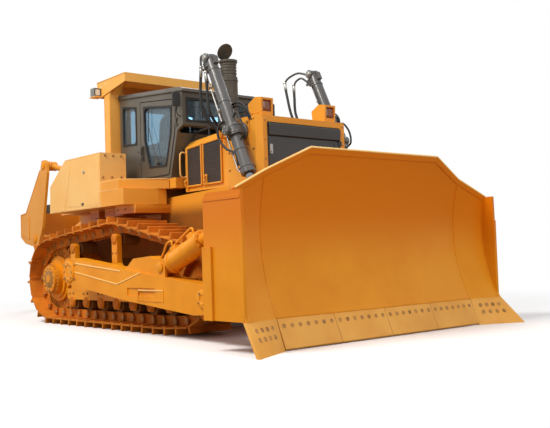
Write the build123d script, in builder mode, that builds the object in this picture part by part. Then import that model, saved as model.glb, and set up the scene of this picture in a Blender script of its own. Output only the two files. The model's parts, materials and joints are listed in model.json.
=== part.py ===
from build123d import *
import os
from math import atan2, cos, hypot, pi, radians, sin, tan

# A large crawler dozer with a semi-U blade on two push arms and a single-shank ripper.
# +X is forward, +Y is the operator's left, +Z is up.  Z = 0 is the ground under the
# grousers, X = 0 lies midway between the end-bit tips and the rear of the ripper.
# All lengths are in millimetres.

RIGHT, LEFT = -1, 1
SIDES = ((RIGHT, "right"), (LEFT, "left"))

# --- fits ---
seat_gap = 0.3                  # between pieces that stand on each other
pin_gap = 0.5                   # round a pin, a trunnion or a rod

# --- running gear ---
track_gauge = 2260              # between the two track centres
shoe_width = 610
link_pitch = 260
shoe_gap = 12                   # between neighbouring shoes
shoe_plate = 20
grouser_height = 75
grouser_width = 26
link_half_height = 62           # from the pin line to the rail, and to the shoe
link_bar = 34                   # thickness of one link plate
rail_spread = 84                # from the track centre to a link plate
link_flat = 70                  # a plate's ends are flat beyond this, and lean between
sprocket_teeth = 25
sprocket_x, sprocket_z = -1321, 680
sprocket_width = 80
tooth_height = 62
idler_x, idler_z = 2505, 620
idler_pin_radius = 430          # of the pin line round the idler
idler_width, idler_shaft = 230, 55
roller_count = 7
roller_radius = 118
roller_first, roller_last = -690, 1980
roller_width = 300
carrier_radius = 95
carrier_foot = 166              # from the track centre to a carrier's post
carrier_post = 74               # thickness of that post
carriers = ((-495, 1290), (755, 1390))      # (x, height of the pin line above)

# --- track frames ---
beam_half_width = 175
beam_low, beam_high = 505, 800
beam_rear, beam_front = -690, 1960
guard_thickness = 22

# --- main frame ---
rail_outer, rail_inner = 700, 560
frame_low, frame_high = 960, 1480
frame_front = 2950
hood_rail_top = 1840
hook_low, hook_depth, hook_bore = 1075, 90, 35      # pull hook at the front
case_rear, case_front = -1760, -560
case_half = 640
belly = 590
belly_plate = 30

# --- blade and push arms ---
trunnion_x, trunnion_z = 55, 800
trunnion_radius = 92
arm_inner, arm_outer = 1482, 1700
brace_eye = 70                  # half width of the tilt brace's lower eye
blade_x = 4409                  # face of the moldboard at the cutting-edge seam
blade_seam_z = 318
blade_top_x, blade_top_z = 4427, 2085
blade_sag = 225                 # depth of the moldboard's curve
moldboard_plate = 45
centre_half = 1590              # half width of the straight middle section
blade_half = 2070
top_flat_half = 1046
shoulder_z = 1609               # where the sloped top meets the end plates
wing_angle = 14                 # how far each wing turns forward
end_plate_depth = 630
end_plate = 36
edge_tip_x, edge_low = 4532, 12
edge_thickness = 38
edge_plates = 4
bit_tip_x, bit_tip_y = 4815, blade_half + 80
rib_y = (blade_half - 80, arm_inner - 152, 500)     # upright ribs, on both sides
arm_bracket_rear, arm_bracket_bend = blade_x - 1089, blade_x - 1009

# --- lift cylinders ---
lift_y = 885
yoke_x, yoke_z = 2893, 2463
lift_pin_x, lift_pin_z = 3745, 653
barrel_radius = 76
barrel_above, barrel_below = 1100, 590      # measured from the trunnion
rod_above = 60                  # how far the rod reaches above the trunnion
rod_radius = 48
eye_radius, eye_width = 82, 90
ear_thickness, ear_clearance = 34, 12

# --- radiator guard and hood ---
guard_rear, guard_front = 2560, 3190
guard_half, guard_top = 750, 2640
guard_low = 1300
lift_pad = 764                  # y of the pads that carry the lift cylinders
grille_half, grille_top, grille_low = 617, 2564, 1420
grille_depth = 60
grille_axis_x, grille_axis_y = guard_front + 12, grille_half - 2
grille_hinges = (1600, 2360)
hood_rear, hood_half = 1425, 620
hood_top_rear, hood_top_front = 2530, 2610
hood_sheet = 12
hood_low = hood_rail_top + seat_gap
lamp_y, lamp_z = 534, 2780

# --- cab and rollover frame ---
cab_rear, cab_front = -70, 1595
cab_half = 760
canopy_half, canopy_top = 930, 3665
cab_clearance = 265             # from the roof's rear edge up to the canopy's top
roof_fall = 145                 # how much lower the roof's front edge is
cab_floor_z = 2045
cab_top_rear = canopy_top - cab_clearance
cab_top_front = cab_top_rear - roof_fall
seat_back_top = cab_top_rear - 295
cab_wall = 45
roof_depth = 60
windscreen_drop = 515           # from the roof's front edge down to the knee
cab_knee_x, cab_toe_x = 1460, 1280      # slanted lower front
cab_knee_z = cab_top_front - windscreen_drop
door_rear_x, door_gap = 520, 6
hinge_x, hinge_y = 1444, 774    # axis of the cab doors' hinges
door_hinges = (cab_knee_z + 60, cab_knee_z + 290)
door_handle = (cab_floor_z + 375, cab_floor_z + 515)
knuckle, knuckle_radius, hinge_pin = 30, 11, 5      # half length of a knuckle, and radii
post_rear, post_front = -265, -95
post_inner, post_outer = 680, 915
canopy_rear, canopy_front = -455, 385
canopy_depth, canopy_sheet = 130, 40

# --- tanks and fenders ---
tank_outer, tank_inner = 1400, 985
tank_rear, tank_front = -1175, 452
tank_low, tank_top = 1690, 2460
fender_top, fender_low = 2035, 1690
shelf_low = 1575
deck_half = 680                 # half width of the mount under the cab
mount_top = 1905                # where the cab's deck begins
fender_front = 1085

# --- ripper ---
ripper_pin_x, ripper_pin_z = -2150, 1000        # lower arms at the tractor
carrier_pin_x, carrier_pin_z = -3750, 1370      # lower arms at the carrier
top_link_dx, top_link_dz = 420, 1320            # each upper pin, from the lower one
mast_inner, mast_outer = 470, 520
arm_in, arm_out = 385, 458                      # the ripper's two lower arms
pitch_y, pitch_width = 330, 110
pitch_neck = 240                # from the upper pin to the barrel's end
ripper_lift_y, ripper_eye = 140, 90
ripper_lift_top = (-1950, 1760)                 # lift cylinders at the tractor
ripper_lift_low = (-3300, 1330)                 # and at the lower arms
ripper_rear = -4385                             # rear face of the shank's pocket
shank_rear, shank_thick = -4815, 100
shank_tip_z, shank_pin = 150, 30


def ordered(first, second):
    return min(first, second), max(first, second)


def side_plate(outline, y_from, y_to, mode=Mode.ADD):
    """An outline in x and z, made solid across the machine."""
    low, high = ordered(y_from, y_to)
    with BuildSketch(Plane.XZ.offset(-high)) as profile:
        with BuildLine():
            Polyline(*outline, close=True)
        make_face()
    extrude(profile.sketch, amount=high - low, mode=mode)


def deck_plate(outline, z_from, z_to, mode=Mode.ADD):
    """An outline in x and y, made solid upwards."""
    with BuildSketch(Plane.XY.offset(z_from)) as profile:
        with BuildLine():
            Polyline(*outline, close=True)
        make_face()
    extrude(profile.sketch, amount=z_to - z_from, mode=mode)


def cross_plate(outline, x_from, x_to, mode=Mode.ADD):
    """An outline in y and z, made solid forwards."""
    with BuildSketch(Plane.YZ.offset(x_from)) as profile:
        with BuildLine():
            Polyline(*outline, close=True)
        make_face()
    extrude(profile.sketch, amount=x_to - x_from, mode=mode)


def block(x_span, y_span, z_span, mode=Mode.ADD):
    spans = [ordered(*span) for span in (x_span, y_span, z_span)]
    centre = [(low + high) / 2 for low, high in spans]
    with Locations(tuple(centre)):
        Box(*[high - low for low, high in spans], mode=mode)


def cross_bar(x, z, radius, y_from, y_to, mode=Mode.ADD):
    """A round bar across the machine."""
    with Locations(Location((x, (y_from + y_to) / 2, z), (90, 0, 0))):
        Cylinder(radius, abs(y_to - y_from), mode=mode)


def round_bar(start, end, radius, mode=Mode.ADD):
    """A round bar between two points in the x-z plane, or any two points."""
    start, end = Vector(*start), Vector(*end)
    with BuildSketch(Plane(origin=start, z_dir=end - start)) as section:
        Circle(radius)
    extrude(section.sketch, amount=(end - start).length, mode=mode)


def mirrored_y(side, *values):
    return [side * value for value in values]


def finish(builder, name):
    builder.part.label = name
    export_step(builder.part, f"parts/{name}.step")
    print(name, len(builder.part.solids()), round(builder.part.volume / 1e6, 2))


os.makedirs("parts", exist_ok=True)

# ---------------------------------------------------------------- track chain
sprocket_radius = link_pitch / 2 / sin(pi / (sprocket_teeth / 2))
ground_to_pin = link_half_height + shoe_plate + grouser_height


def pin_line():
    """The chain's pin line: the taut loop round sprocket, idler, carriers and rollers."""
    wheels = [(sprocket_x, sprocket_z, sprocket_radius),
              (idler_x, idler_z, idler_pin_radius)]
    wheels += [(x, z - carrier_radius - link_half_height, carrier_radius + link_half_height)
               for x, z in carriers]
    reach = roller_radius + link_half_height
    wheels += [(x, ground_to_pin + reach, reach) for x in (roller_first, roller_last)]
    cloud = sorted((x + r * cos(radians(a)), z + r * sin(radians(a)))
                   for x, z, r in wheels for a in range(0, 360, 4))

    def half(points):
        hull = []
        for p in points:
            while len(hull) > 1 and ((hull[-1][0] - hull[-2][0]) * (p[1] - hull[-2][1])
                                     <= (hull[-1][1] - hull[-2][1]) * (p[0] - hull[-2][0])):
                hull.pop()
            hull.append(p)
        return hull[:-1]

    return half(cloud) + half(cloud[::-1])


def spaced(loop, count):
    """Points and directions at equal steps along a closed loop."""
    sides = list(zip(loop, loop[1:] + loop[:1]))
    lengths = [hypot(b[0] - a[0], b[1] - a[1]) for a, b in sides]
    step, walked, places, index = sum(lengths) / count, 0, [], 0
    for number in range(count):
        target = number * step
        while walked + lengths[index] < target:
            walked += lengths[index]
            index += 1
        a, b = sides[index]
        share = (target - walked) / lengths[index]
        places.append((a[0] + (b[0] - a[0]) * share, a[1] + (b[1] - a[1]) * share))
    return places


loop = pin_line()
loop_length = sum(hypot(b[0] - a[0], b[1] - a[1]) for a, b in zip(loop, loop[1:] + loop[:1]))
shoe_count = round(loop_length / link_pitch)
pins = spaced(loop, shoe_count)


def tread(x, z):
    """Radius of a wheel at x, z that the nearest link's rail runs on."""
    reach = []
    for (x0, z0), (x1, z1) in zip(pins, pins[1:] + pins[:1]):
        run_x, run_z = x1 - x0, z1 - z0
        share = ((x - x0) * run_x + (z - z0) * run_z) / (run_x ** 2 + run_z ** 2)
        share = min(max(share, 0), 1)
        reach.append(hypot(x0 + share * run_x - x, z0 + share * run_z - z))
    return min(reach) - link_half_height - seat_gap


idler_radius = tread(idler_x, idler_z)
print("shoes on each side", shoe_count, "pitch", round(loop_length / shoe_count, 1))

plate_low = link_half_height
plate_high = link_half_height + shoe_plate
half_shoe = (link_pitch - shoe_gap) / 2
half_link = half_shoe + shoe_gap - 1
with BuildPart() as shoe:
    # local frame: x along the chain, y across it, z outwards from the pin line
    side_plate([(-half_shoe, plate_low), (half_shoe, plate_low), (half_shoe, plate_high),
                (-half_shoe + grouser_width + 14, plate_high),
                (-half_shoe + grouser_width, plate_high + grouser_height),
                (-half_shoe, plate_high + grouser_height)],
               -shoe_width / 2, shoe_width / 2)
    for side in (RIGHT, LEFT):
        # a link plate steps across the chain, so its ends pass beside its neighbours'
        y = side * rail_spread
        front, rear = y + side * seat_gap / 2, y - side * seat_gap / 2
        with BuildSketch(Plane.XY.offset(-link_half_height)) as link:
            with BuildLine():
                Polyline((-half_link, rear - side * link_bar), (link_flat, front), (half_link, front),
                         (half_link, front + side * link_bar), (-link_flat, rear), (-half_link, rear),
                         close=True)
            make_face()
        extrude(link.sketch, amount=2 * link_half_height)

for side, name in SIDES:
    places = []
    for (x0, z0), (x1, z1) in zip(pins, pins[1:] + pins[:1]):
        middle = ((x0 + x1) / 2, side * track_gauge / 2, (z0 + z1) / 2)
        outwards = (z1 - z0, 0, x0 - x1)
        places.append(Plane(origin=middle, x_dir=(x1 - x0, 0, z1 - z0), z_dir=outwards).location)
    with BuildPart() as track:
        with Locations(*places):
            add(shoe.part)
    finish(track, f"track_{name}")

# ---------------------------------------------------------------- wheels of the track
tooth_root = sprocket_radius - 36
tooth_tip = tooth_root + tooth_height
tooth_step = 2 * pi / sprocket_teeth
first_pin = min(pins, key=lambda p: abs(hypot(p[0] - sprocket_x, p[1] - sprocket_z) - sprocket_radius)
                + abs(p[1] - sprocket_z))
phase = atan2(first_pin[1] - sprocket_z, first_pin[0] - sprocket_x)


def wheel_point(radius, angle):
    return sprocket_x + radius * cos(angle), sprocket_z + radius * sin(angle)


rim = []
for number in range(sprocket_teeth):
    for share, radius in ((-0.24, tooth_root), (0.24, tooth_root), (0.42, tooth_tip), (0.58, tooth_tip)):
        rim.append(wheel_point(radius, phase + (number + share) * tooth_step))
with BuildPart() as sprockets:
    for side in (RIGHT, LEFT):
        centre = side * track_gauge / 2
        side_plate(rim, centre - sprocket_width / 2, centre + sprocket_width / 2)
        cross_bar(sprocket_x, sprocket_z, 300, centre - 120, centre + 120, mode=Mode.SUBTRACT)
finish(sprockets, "sprockets")

with BuildPart() as final_drives:
    # case against the frame, drum through the sprocket, bolted cover outside
    for side in (RIGHT, LEFT):
        centre = side * track_gauge / 2
        for radius, y_from, y_to in ((430, case_half + seat_gap, 900), (300, 900, 1250),
                                     (350, 1178, 1215), (240, 1250, 1330), (205, 1330, 1375),
                                     (60, 1375, 1395)):
            cross_bar(sprocket_x, sprocket_z, radius, side * y_from, side * y_to)
finish(final_drives, "final_drives")

with BuildPart() as idlers:
    for side in (RIGHT, LEFT):
        centre = side * track_gauge / 2
        half = idler_width / 2
        with BuildSketch(Plane.XY) as section:
            with BuildLine():
                bore = idler_shaft + pin_gap
                Polyline((bore, -130), (bore, 130), (120, 130), (120, 40), (300, 40), (300, half),
                         (idler_radius, half), (idler_radius, 45), (idler_radius + 24, 38),
                         (idler_radius + 24, -38), (idler_radius, -45), (idler_radius, -half), (300, -half),
                         (300, -40), (120, -40), (120, -130), close=True)
            make_face()
        wheel = revolve(section.sketch, axis=Axis.Y, mode=Mode.PRIVATE)
        with Locations((idler_x, centre, idler_z)):
            add(wheel)
finish(idlers, "idlers")

roller_z = ground_to_pin + link_half_height + roller_radius
roller_step = (roller_last - roller_first) / (roller_count - 1)
roller_places = [roller_first + roller_step * number for number in range(roller_count)]
with BuildPart() as track_rollers:
    for side in (RIGHT, LEFT):
        centre = side * track_gauge / 2
        for x in roller_places:
            cross_bar(x, roller_z, tread(x, roller_z), centre - 120, centre + 120)
            cross_bar(x, roller_z, 70, centre - roller_width / 2, centre + roller_width / 2)
finish(track_rollers, "track_rollers")

with BuildPart() as carrier_rollers:
    for side in (RIGHT, LEFT):
        centre = side * track_gauge / 2
        for x, top in carriers:
            z = top - link_half_height - carrier_radius
            cross_bar(x, z, tread(x, z), centre - 125, centre + 125)
            cross_bar(x, z, 55, centre, centre + side * (carrier_foot - seat_gap))
finish(carrier_rollers, "carrier_rollers")

# ---------------------------------------------------------------- track frames
for side, name in SIDES:
    centre = side * track_gauge / 2
    with BuildPart() as track_frame:
        side_plate([(beam_rear, beam_low), (beam_rear + 60, beam_low), (beam_front, beam_low),
                    (beam_front + 60, beam_low + 60), (beam_front + 60, beam_high - 60),
                    (beam_front, beam_high), (beam_rear + 90, beam_high), (beam_rear, beam_high - 90)],
                   centre - beam_half_width, centre + beam_half_width)
        for face in (RIGHT, LEFT):
            # idler yoke, roller guard and the saddles that hold the roller shafts
            inner = centre + face * (roller_width / 2 + seat_gap)
            outer = inner + face * guard_thickness
            side_plate([(beam_front - 200, 560), (idler_x + 90, idler_z - 85), (idler_x + 90, idler_z + 85),
                        (beam_front - 200, 740)], inner, outer + face * 10)
            saddle = []
            for x in roller_places:
                saddle += [(x - 95, roller_z + 40), (x - 60, roller_z - 70),
                           (x + 60, roller_z - 70), (x + 95, roller_z + 40)]
            side_plate([(roller_first - 150, beam_low + 30), (roller_first - 150, roller_z + 60)] + saddle
                       + [(roller_last + 150, roller_z + 60), (roller_last + 150, beam_low + 30)],
                       inner, outer)
        shaft_half = roller_width / 2 + 30
        cross_bar(idler_x, idler_z, idler_shaft, centre - shaft_half, centre + shaft_half)
        for x, top in carriers:
            shaft_z = top - link_half_height - carrier_radius
            foot = side * (track_gauge / 2 + carrier_foot)
            side_plate([(x - 135, beam_high - 80), (x - 120, beam_high + 60), (x - 72, beam_high + 110),
                        (x - 72, shaft_z + 40), (x - 45, shaft_z + 72), (x + 45, shaft_z + 72),
                        (x + 72, shaft_z + 40), (x + 72, beam_high + 110), (x + 120, beam_high + 60),
                        (x + 135, beam_high - 80)], foot, foot + side * carrier_post)
            block((x - 135, x + 135), (centre, foot + side * carrier_post), (beam_high - 80, beam_high - 20))
        # the trunnion that carries the push arm, on a boss outside the beam
        boss = side * (arm_inner - 30)
        cross_bar(trunnion_x, trunnion_z - 60, 150, centre + side * 100, boss)
        cross_bar(trunnion_x, trunnion_z, trunnion_radius, boss - side * 60, side * (arm_outer - 60))
        # the shaft and the pad that tie the beam to the main frame
        cross_bar(beam_rear + 90, 690, 85, side * (case_half + seat_gap), centre)
        block((1440, 1640), (centre - 120, centre + 120), (beam_high - 10, beam_high + 30))
    finish(track_frame, f"track_frame_{name}")

with BuildPart() as equalizer_bar:
    low, high = beam_high + 30 + seat_gap, frame_low - seat_gap
    cross_plate([(-1180, low), (1180, low), (1180, beam_high + 110), (260, high), (-260, high),
                 (-1180, beam_high + 110)], 1470, 1610)
finish(equalizer_bar, "equalizer_bar")

# ---------------------------------------------------------------- main frame
with BuildPart() as main_frame:
    for side in (RIGHT, LEFT):
        guard_seat, hood_end = guard_low - seat_gap, guard_rear - seat_gap
        side_plate([(case_front - 60, frame_low), (frame_front, frame_low + 60), (frame_front, guard_seat),
                    (hood_end, guard_seat), (hood_end, hood_rail_top), (1030, hood_rail_top - 60),
                    (880, frame_high), (case_front - 60, frame_high)],
                   side * rail_inner, side * rail_outer)
    side_plate([(case_rear, 700), (case_rear + 120, belly), (case_front, belly), (case_front, frame_high),
                (case_rear, frame_high)], -case_half, case_half)
    block((frame_front - 140, frame_front), (-rail_inner, rail_inner), (frame_low + 60, guard_seat))
    block((case_front - 10, 0), (-rail_inner, rail_inner), (frame_low, frame_low + 200))
    block((1470, 1610), (-rail_inner, rail_inner), (frame_low, frame_low + 70))
    for x_from, x_to in ((case_front, 1440), (1640, frame_front - 60)):
        block((x_from, x_to), (-rail_inner, rail_inner), (belly, belly + belly_plate))
        for side in (RIGHT, LEFT):
            block((x_from, x_to), mirrored_y(side, rail_inner - 60, rail_inner + 10), (belly, frame_low + 60))
    # front pull hook: a lug with an upright bore, under the radiator guard
    deck_plate([(frame_front - 20, -140), (frame_front + 60, -110), (frame_front + 150, -60),
                (frame_front + 150, 60), (frame_front + 60, 110), (frame_front - 20, 140)],
               hook_low, hook_low + hook_depth)
    round_bar((frame_front + 80, 0, hook_low - 10), (frame_front + 80, 0, hook_low + hook_depth + 10),
              hook_bore, mode=Mode.SUBTRACT)
    # rear pads that the ripper bolts to
    block((case_rear - 40, case_rear + 10), (-560, 560), (760, frame_high))
finish(main_frame, "main_frame")

with BuildPart() as engine:
    block((1490, 2400), (-400, 400), (1330, 2330))
    block((1010, 1490), (-330, 330), (1300, 1820))
    for side in (RIGHT, LEFT):
        block((1500, 2300), mirrored_y(side, 400, rail_inner - seat_gap), (1350, 1450))
finish(engine, "engine")

# ---------------------------------------------------------------- radiator guard, grille, hood
with BuildPart() as radiator_guard:
    chamfer_in = 60
    deck_plate([(guard_rear, -guard_half), (guard_front - chamfer_in, -guard_half),
                (guard_front, -guard_half + chamfer_in), (guard_front, guard_half - chamfer_in),
                (guard_front - chamfer_in, guard_half), (guard_rear, guard_half)], guard_low, guard_top)
    block((guard_rear - 10, guard_front - 220), (-grille_half, grille_half), (guard_low + 60, guard_top - 40),
          mode=Mode.SUBTRACT)
    block((guard_front - 230, guard_front + 10), (-grille_half, grille_half), (grille_low, grille_top),
          mode=Mode.SUBTRACT)
    # lift-cylinder bearings on both flanks
    for side in (RIGHT, LEFT):
        block((yoke_x - 130, yoke_x + 130), mirrored_y(side, guard_half - 5, lift_pad),
              (yoke_z - 160, yoke_z + 140))
    # hinge knuckles of the grille door
    for z in grille_hinges:
        for face in (RIGHT, LEFT):
            low, high = ordered(z + face * (knuckle + seat_gap), z + face * 2 * knuckle)
            foot, top = [(grille_axis_x, grille_axis_y, level) for level in (low, high)]
            round_bar(foot, top, knuckle_radius)
            block((guard_front - 2, grille_axis_x), (grille_axis_y, grille_axis_y + 30), (low, high))
        round_bar((grille_axis_x, grille_axis_y, z - 2 * knuckle),
                  (grille_axis_x, grille_axis_y, z + 2 * knuckle), hinge_pin)
finish(radiator_guard, "radiator_guard")

with BuildPart() as radiator_core:
    block((guard_rear + 120, guard_rear + 330), (-grille_half + 20, grille_half - 20),
          (guard_low + 60, guard_top - 120))
finish(radiator_core, "radiator_core")

with BuildPart() as grille_door:
    edge = 6
    low, high, half = grille_low + edge, grille_top - edge, grille_half - edge
    block((guard_front - grille_depth, guard_front - 4), (-half, half), (low, high))
    # the mesh sits back between two side strips, below a slanted top band
    inside = half - 110
    block((guard_front - grille_depth - 1, guard_front - 34), (-inside, inside), (low + 90, high - 190),
          mode=Mode.SUBTRACT)
    block((guard_front - grille_depth, guard_front - 44), (-inside - 1, inside + 1), (low + 89, high - 189))
    for z in grille_hinges:
        foot, top = [(grille_axis_x, grille_axis_y, z + rise) for rise in (-knuckle, knuckle)]
        round_bar(foot, top, knuckle_radius)
        block((guard_front - 6, grille_axis_x), (grille_axis_y - 40, grille_axis_y), (foot[2], top[2]))
        round_bar(foot, top, hinge_pin + seat_gap, mode=Mode.SUBTRACT)
finish(grille_door, "grille_door")

shoulder = 90
with BuildPart() as hood:
    side_plate([(hood_rear, hood_low), (guard_rear - seat_gap, hood_low),
                (guard_rear - seat_gap, hood_top_front), (hood_rear, hood_top_rear)], -hood_half, hood_half)
    top_edges = hood.faces().sort_by(Axis.Z)[-1].edges()
    chamfer(top_edges.filter_by(lambda e: abs(e.center().Y) > hood_half - 1), shoulder)
    ends = hood.faces().sort_by(Axis.X)
    offset(amount=-hood_sheet, openings=ends[:1] + ends[-1:] + hood.faces().sort_by(Axis.Z)[:1])
finish(hood, "hood")

vents = ((hood_rear + 70, hood_rear + 400), (hood_rear + 450, hood_rear + 850))
vent_low, vent_high = hood_low + 70, hood_top_rear - 110
with BuildPart() as hood_vents:
    for side in (RIGHT, LEFT):
        for x_from, x_to in vents:
            rise = (hood_top_front - hood_top_rear) / (guard_rear - hood_rear)
            side_plate([(x_from, vent_low), (x_to, vent_low), (x_to, vent_high + (x_to - hood_rear) * rise),
                        (x_from, vent_high + (x_from - hood_rear) * rise)],
                       side * (hood_half + seat_gap), side * (hood_half + 14))
finish(hood_vents, "hood_vents")

with BuildPart() as headlamps:
    for side in (RIGHT, LEFT):
        y = side * lamp_y
        foot = guard_top + seat_gap
        side_plate([(2870, foot), (3095, foot), (3110, lamp_z + 95), (2990, lamp_z + 115),
                    (2850, lamp_z + 40)], y - 95, y + 95)
        block((3060, 3200), (y - 68, y + 68), (lamp_z - 75, lamp_z + 70), mode=Mode.SUBTRACT)
        block((3050, 3075), (y - 60, y + 60), (lamp_z - 68, lamp_z + 62))
finish(headlamps, "headlamps")

# ---------------------------------------------------------------- exhaust and intake
def hood_top(x):
    share = (x - hood_rear) / (guard_rear - hood_rear)
    return hood_top_rear + (hood_top_front - hood_top_rear) * share


stack_x, stack_y, stack_radius, stack_top = 2080, -330, 118, 3560
intake_x, intake_y = 1800, 240
cap_hinge_x, cap_hinge_z, cap_knuckle = stack_x - 135, stack_top + 16, 20
with BuildPart() as exhaust_stack:
    foot = hood_top(stack_x + stack_radius) + seat_gap
    round_bar((stack_x, stack_y, foot), (stack_x, stack_y, 3330), stack_radius)
    round_bar((stack_x, stack_y, 3330), (stack_x, stack_y, stack_top), stack_radius - 14)
    round_bar((stack_x, stack_y, stack_top - 30), (stack_x, stack_y, stack_top), stack_radius + 4)
    round_bar((stack_x, stack_y, 3000), (stack_x, stack_y, stack_top + 10), stack_radius - 30,
              mode=Mode.SUBTRACT)
    for side in (RIGHT, LEFT):
        y_from, y_to = stack_y + side * (cap_knuckle + seat_gap), stack_y + side * (cap_knuckle + 14)
        block((cap_hinge_x - 12, stack_x - stack_radius + 14), (y_from, y_to), (stack_top - 30, stack_top))
        block((cap_hinge_x - 12, cap_hinge_x + 12), (y_from, y_to), (stack_top - 5, cap_hinge_z + 12))
    cross_bar(cap_hinge_x, cap_hinge_z, 7, stack_y - cap_knuckle - 14, stack_y + cap_knuckle + 14)
finish(exhaust_stack, "exhaust_stack")

with BuildPart() as rain_cap:
    # stands open as the engine runs; the plate is a flat disc with a tail behind its hinge
    cap_angle = radians(58)
    tilt = Plane(origin=(cap_hinge_x, stack_y, cap_hinge_z), x_dir=(cos(cap_angle), 0, sin(cap_angle)),
                 z_dir=(-sin(cap_angle), 0, cos(cap_angle)))
    with BuildSketch(tilt) as disc:
        with Locations((stack_x - cap_hinge_x, 0)):
            Circle(stack_radius - 2)
        with Locations((40, 0)):
            Rectangle(80, 2 * cap_knuckle)
    extrude(disc.sketch, amount=10)
    cross_bar(cap_hinge_x, cap_hinge_z, 16, stack_y - cap_knuckle, stack_y + cap_knuckle)
    cross_bar(cap_hinge_x, cap_hinge_z, 7 + seat_gap, stack_y - 30, stack_y + 30, mode=Mode.SUBTRACT)
finish(rain_cap, "rain_cap")

with BuildPart() as air_intake:
    foot = hood_top(intake_x + 75) + seat_gap
    for radius, low, high in ((75, foot, 2860), (150, 2800, 2980), (110, 2980, 3010)):
        round_bar((intake_x, intake_y, low), (intake_x, intake_y, high), radius)
finish(air_intake, "air_intake")

# ---------------------------------------------------------------- cab
roof_slope = (cab_top_front - cab_top_rear) / (cab_front - cab_rear)


def roof_at(x):
    return cab_top_rear + (x - cab_rear) * roof_slope


def inset(outline, dx, dz):
    middle_x = sum(x for x, z in outline) / len(outline)
    middle_z = sum(z for x, z in outline) / len(outline)
    return [(x + (dx if x < middle_x else -dx), z + (dz if z < middle_z else -dz))
            for x, z in outline]


cab_outline = [(cab_rear, cab_floor_z), (cab_toe_x, cab_floor_z), (cab_toe_x + 20, cab_floor_z + 90),
               (cab_knee_x, cab_knee_z - 60), (cab_front, cab_knee_z),
               (cab_front, roof_at(cab_front) - roof_depth - seat_gap),
               (cab_rear, roof_at(cab_rear) - roof_depth - seat_gap)]
door_outline = [(door_rear_x, cab_floor_z + 60), (cab_toe_x - 60, cab_floor_z + 60),
                (cab_toe_x - 40, cab_floor_z + 110), (cab_knee_x - 70, cab_knee_z - 60),
                (cab_knee_x - 30, roof_at(cab_knee_x) - 160), (door_rear_x, roof_at(door_rear_x) - 150)]
door_window = [(door_rear_x + 230, cab_floor_z + 200), (cab_toe_x - 110, cab_floor_z + 180),
               (cab_knee_x - 150, cab_knee_z - 60), (cab_knee_x - 130, roof_at(cab_knee_x) - 240),
               (door_rear_x + 100, roof_at(door_rear_x) - 230), (door_rear_x + 100, cab_floor_z + 600)]
rear_window = [(cab_rear + 90, cab_floor_z + 590), (door_rear_x - 130, cab_floor_z + 570),
               (door_rear_x - 130, roof_at(door_rear_x) - 200), (cab_rear + 90, roof_at(cab_rear) - 190)]
glass = 8
with BuildPart() as cab_frame:
    side_plate(cab_outline, -cab_half, cab_half)
    side_plate(inset(cab_outline, cab_wall, cab_wall), -cab_half + cab_wall, cab_half - cab_wall,
               mode=Mode.SUBTRACT)
    block((cab_rear + cab_wall, cab_front - 160), (-cab_half + cab_wall, cab_half - cab_wall),
          (cab_top_front - 150, cab_top_rear + 20), mode=Mode.SUBTRACT)
    for side in (RIGHT, LEFT):
        outside, inside = mirrored_y(side, cab_half + 5, cab_half - cab_wall - 5)
        side_plate(inset(door_outline, -door_gap, -door_gap), outside, inside, mode=Mode.SUBTRACT)
        side_plate(rear_window, outside, inside, mode=Mode.SUBTRACT)
    for y_from, y_to in ((-690, -60), (60, 690)):
        block((cab_front - 80, cab_front + 10), (y_from, y_to), (cab_knee_z + 60, cab_top_front - 150),
              mode=Mode.SUBTRACT)
    block((cab_rear - 10, cab_rear + cab_wall + 10), (-600, 600), (cab_floor_z + 560, cab_top_rear - 200),
          mode=Mode.SUBTRACT)
    for side in (RIGHT, LEFT):
        for z in door_hinges:
            for face in (RIGHT, LEFT):
                low, high = ordered(z + face * (knuckle + seat_gap), z + face * 2 * knuckle)
                axis_y = side * hinge_y
                round_bar((hinge_x, axis_y, low), (hinge_x, axis_y, high), knuckle_radius)
                block((hinge_x, hinge_x + 30), (side * (cab_half - 2), axis_y), (low, high))
            round_bar((hinge_x, axis_y, z - 2 * knuckle), (hinge_x, axis_y, z + 2 * knuckle), hinge_pin)
finish(cab_frame, "cab_frame")

with BuildPart() as cab_glass:
    for side in (RIGHT, LEFT):
        outside = side * (cab_half - 14)
        side_plate(inset(rear_window, seat_gap, seat_gap), outside, outside - side * glass)
    for y_from, y_to in ((-690, -60), (60, 690)):
        block((cab_front - 30, cab_front - 30 + glass), (y_from + seat_gap, y_to - seat_gap),
              (cab_knee_z + 60 + seat_gap, cab_top_front - 150 - seat_gap))
    block((cab_rear + 14, cab_rear + 14 + glass), (seat_gap - 600, 600 - seat_gap),
          (cab_floor_z + 560 + seat_gap, cab_top_rear - 200 - seat_gap))
finish(cab_glass, "cab_glass")

with BuildPart() as cab_roof:
    rear, front, bend = cab_rear - 20, cab_front + 40, cab_front - 60
    side_plate([(rear, roof_at(rear) - roof_depth), (front, roof_at(front) - roof_depth),
                (front, cab_top_front - 25), (bend, roof_at(bend)), (rear, roof_at(rear))],
               -cab_half - 15, cab_half + 15)
finish(cab_roof, "cab_roof")

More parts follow.
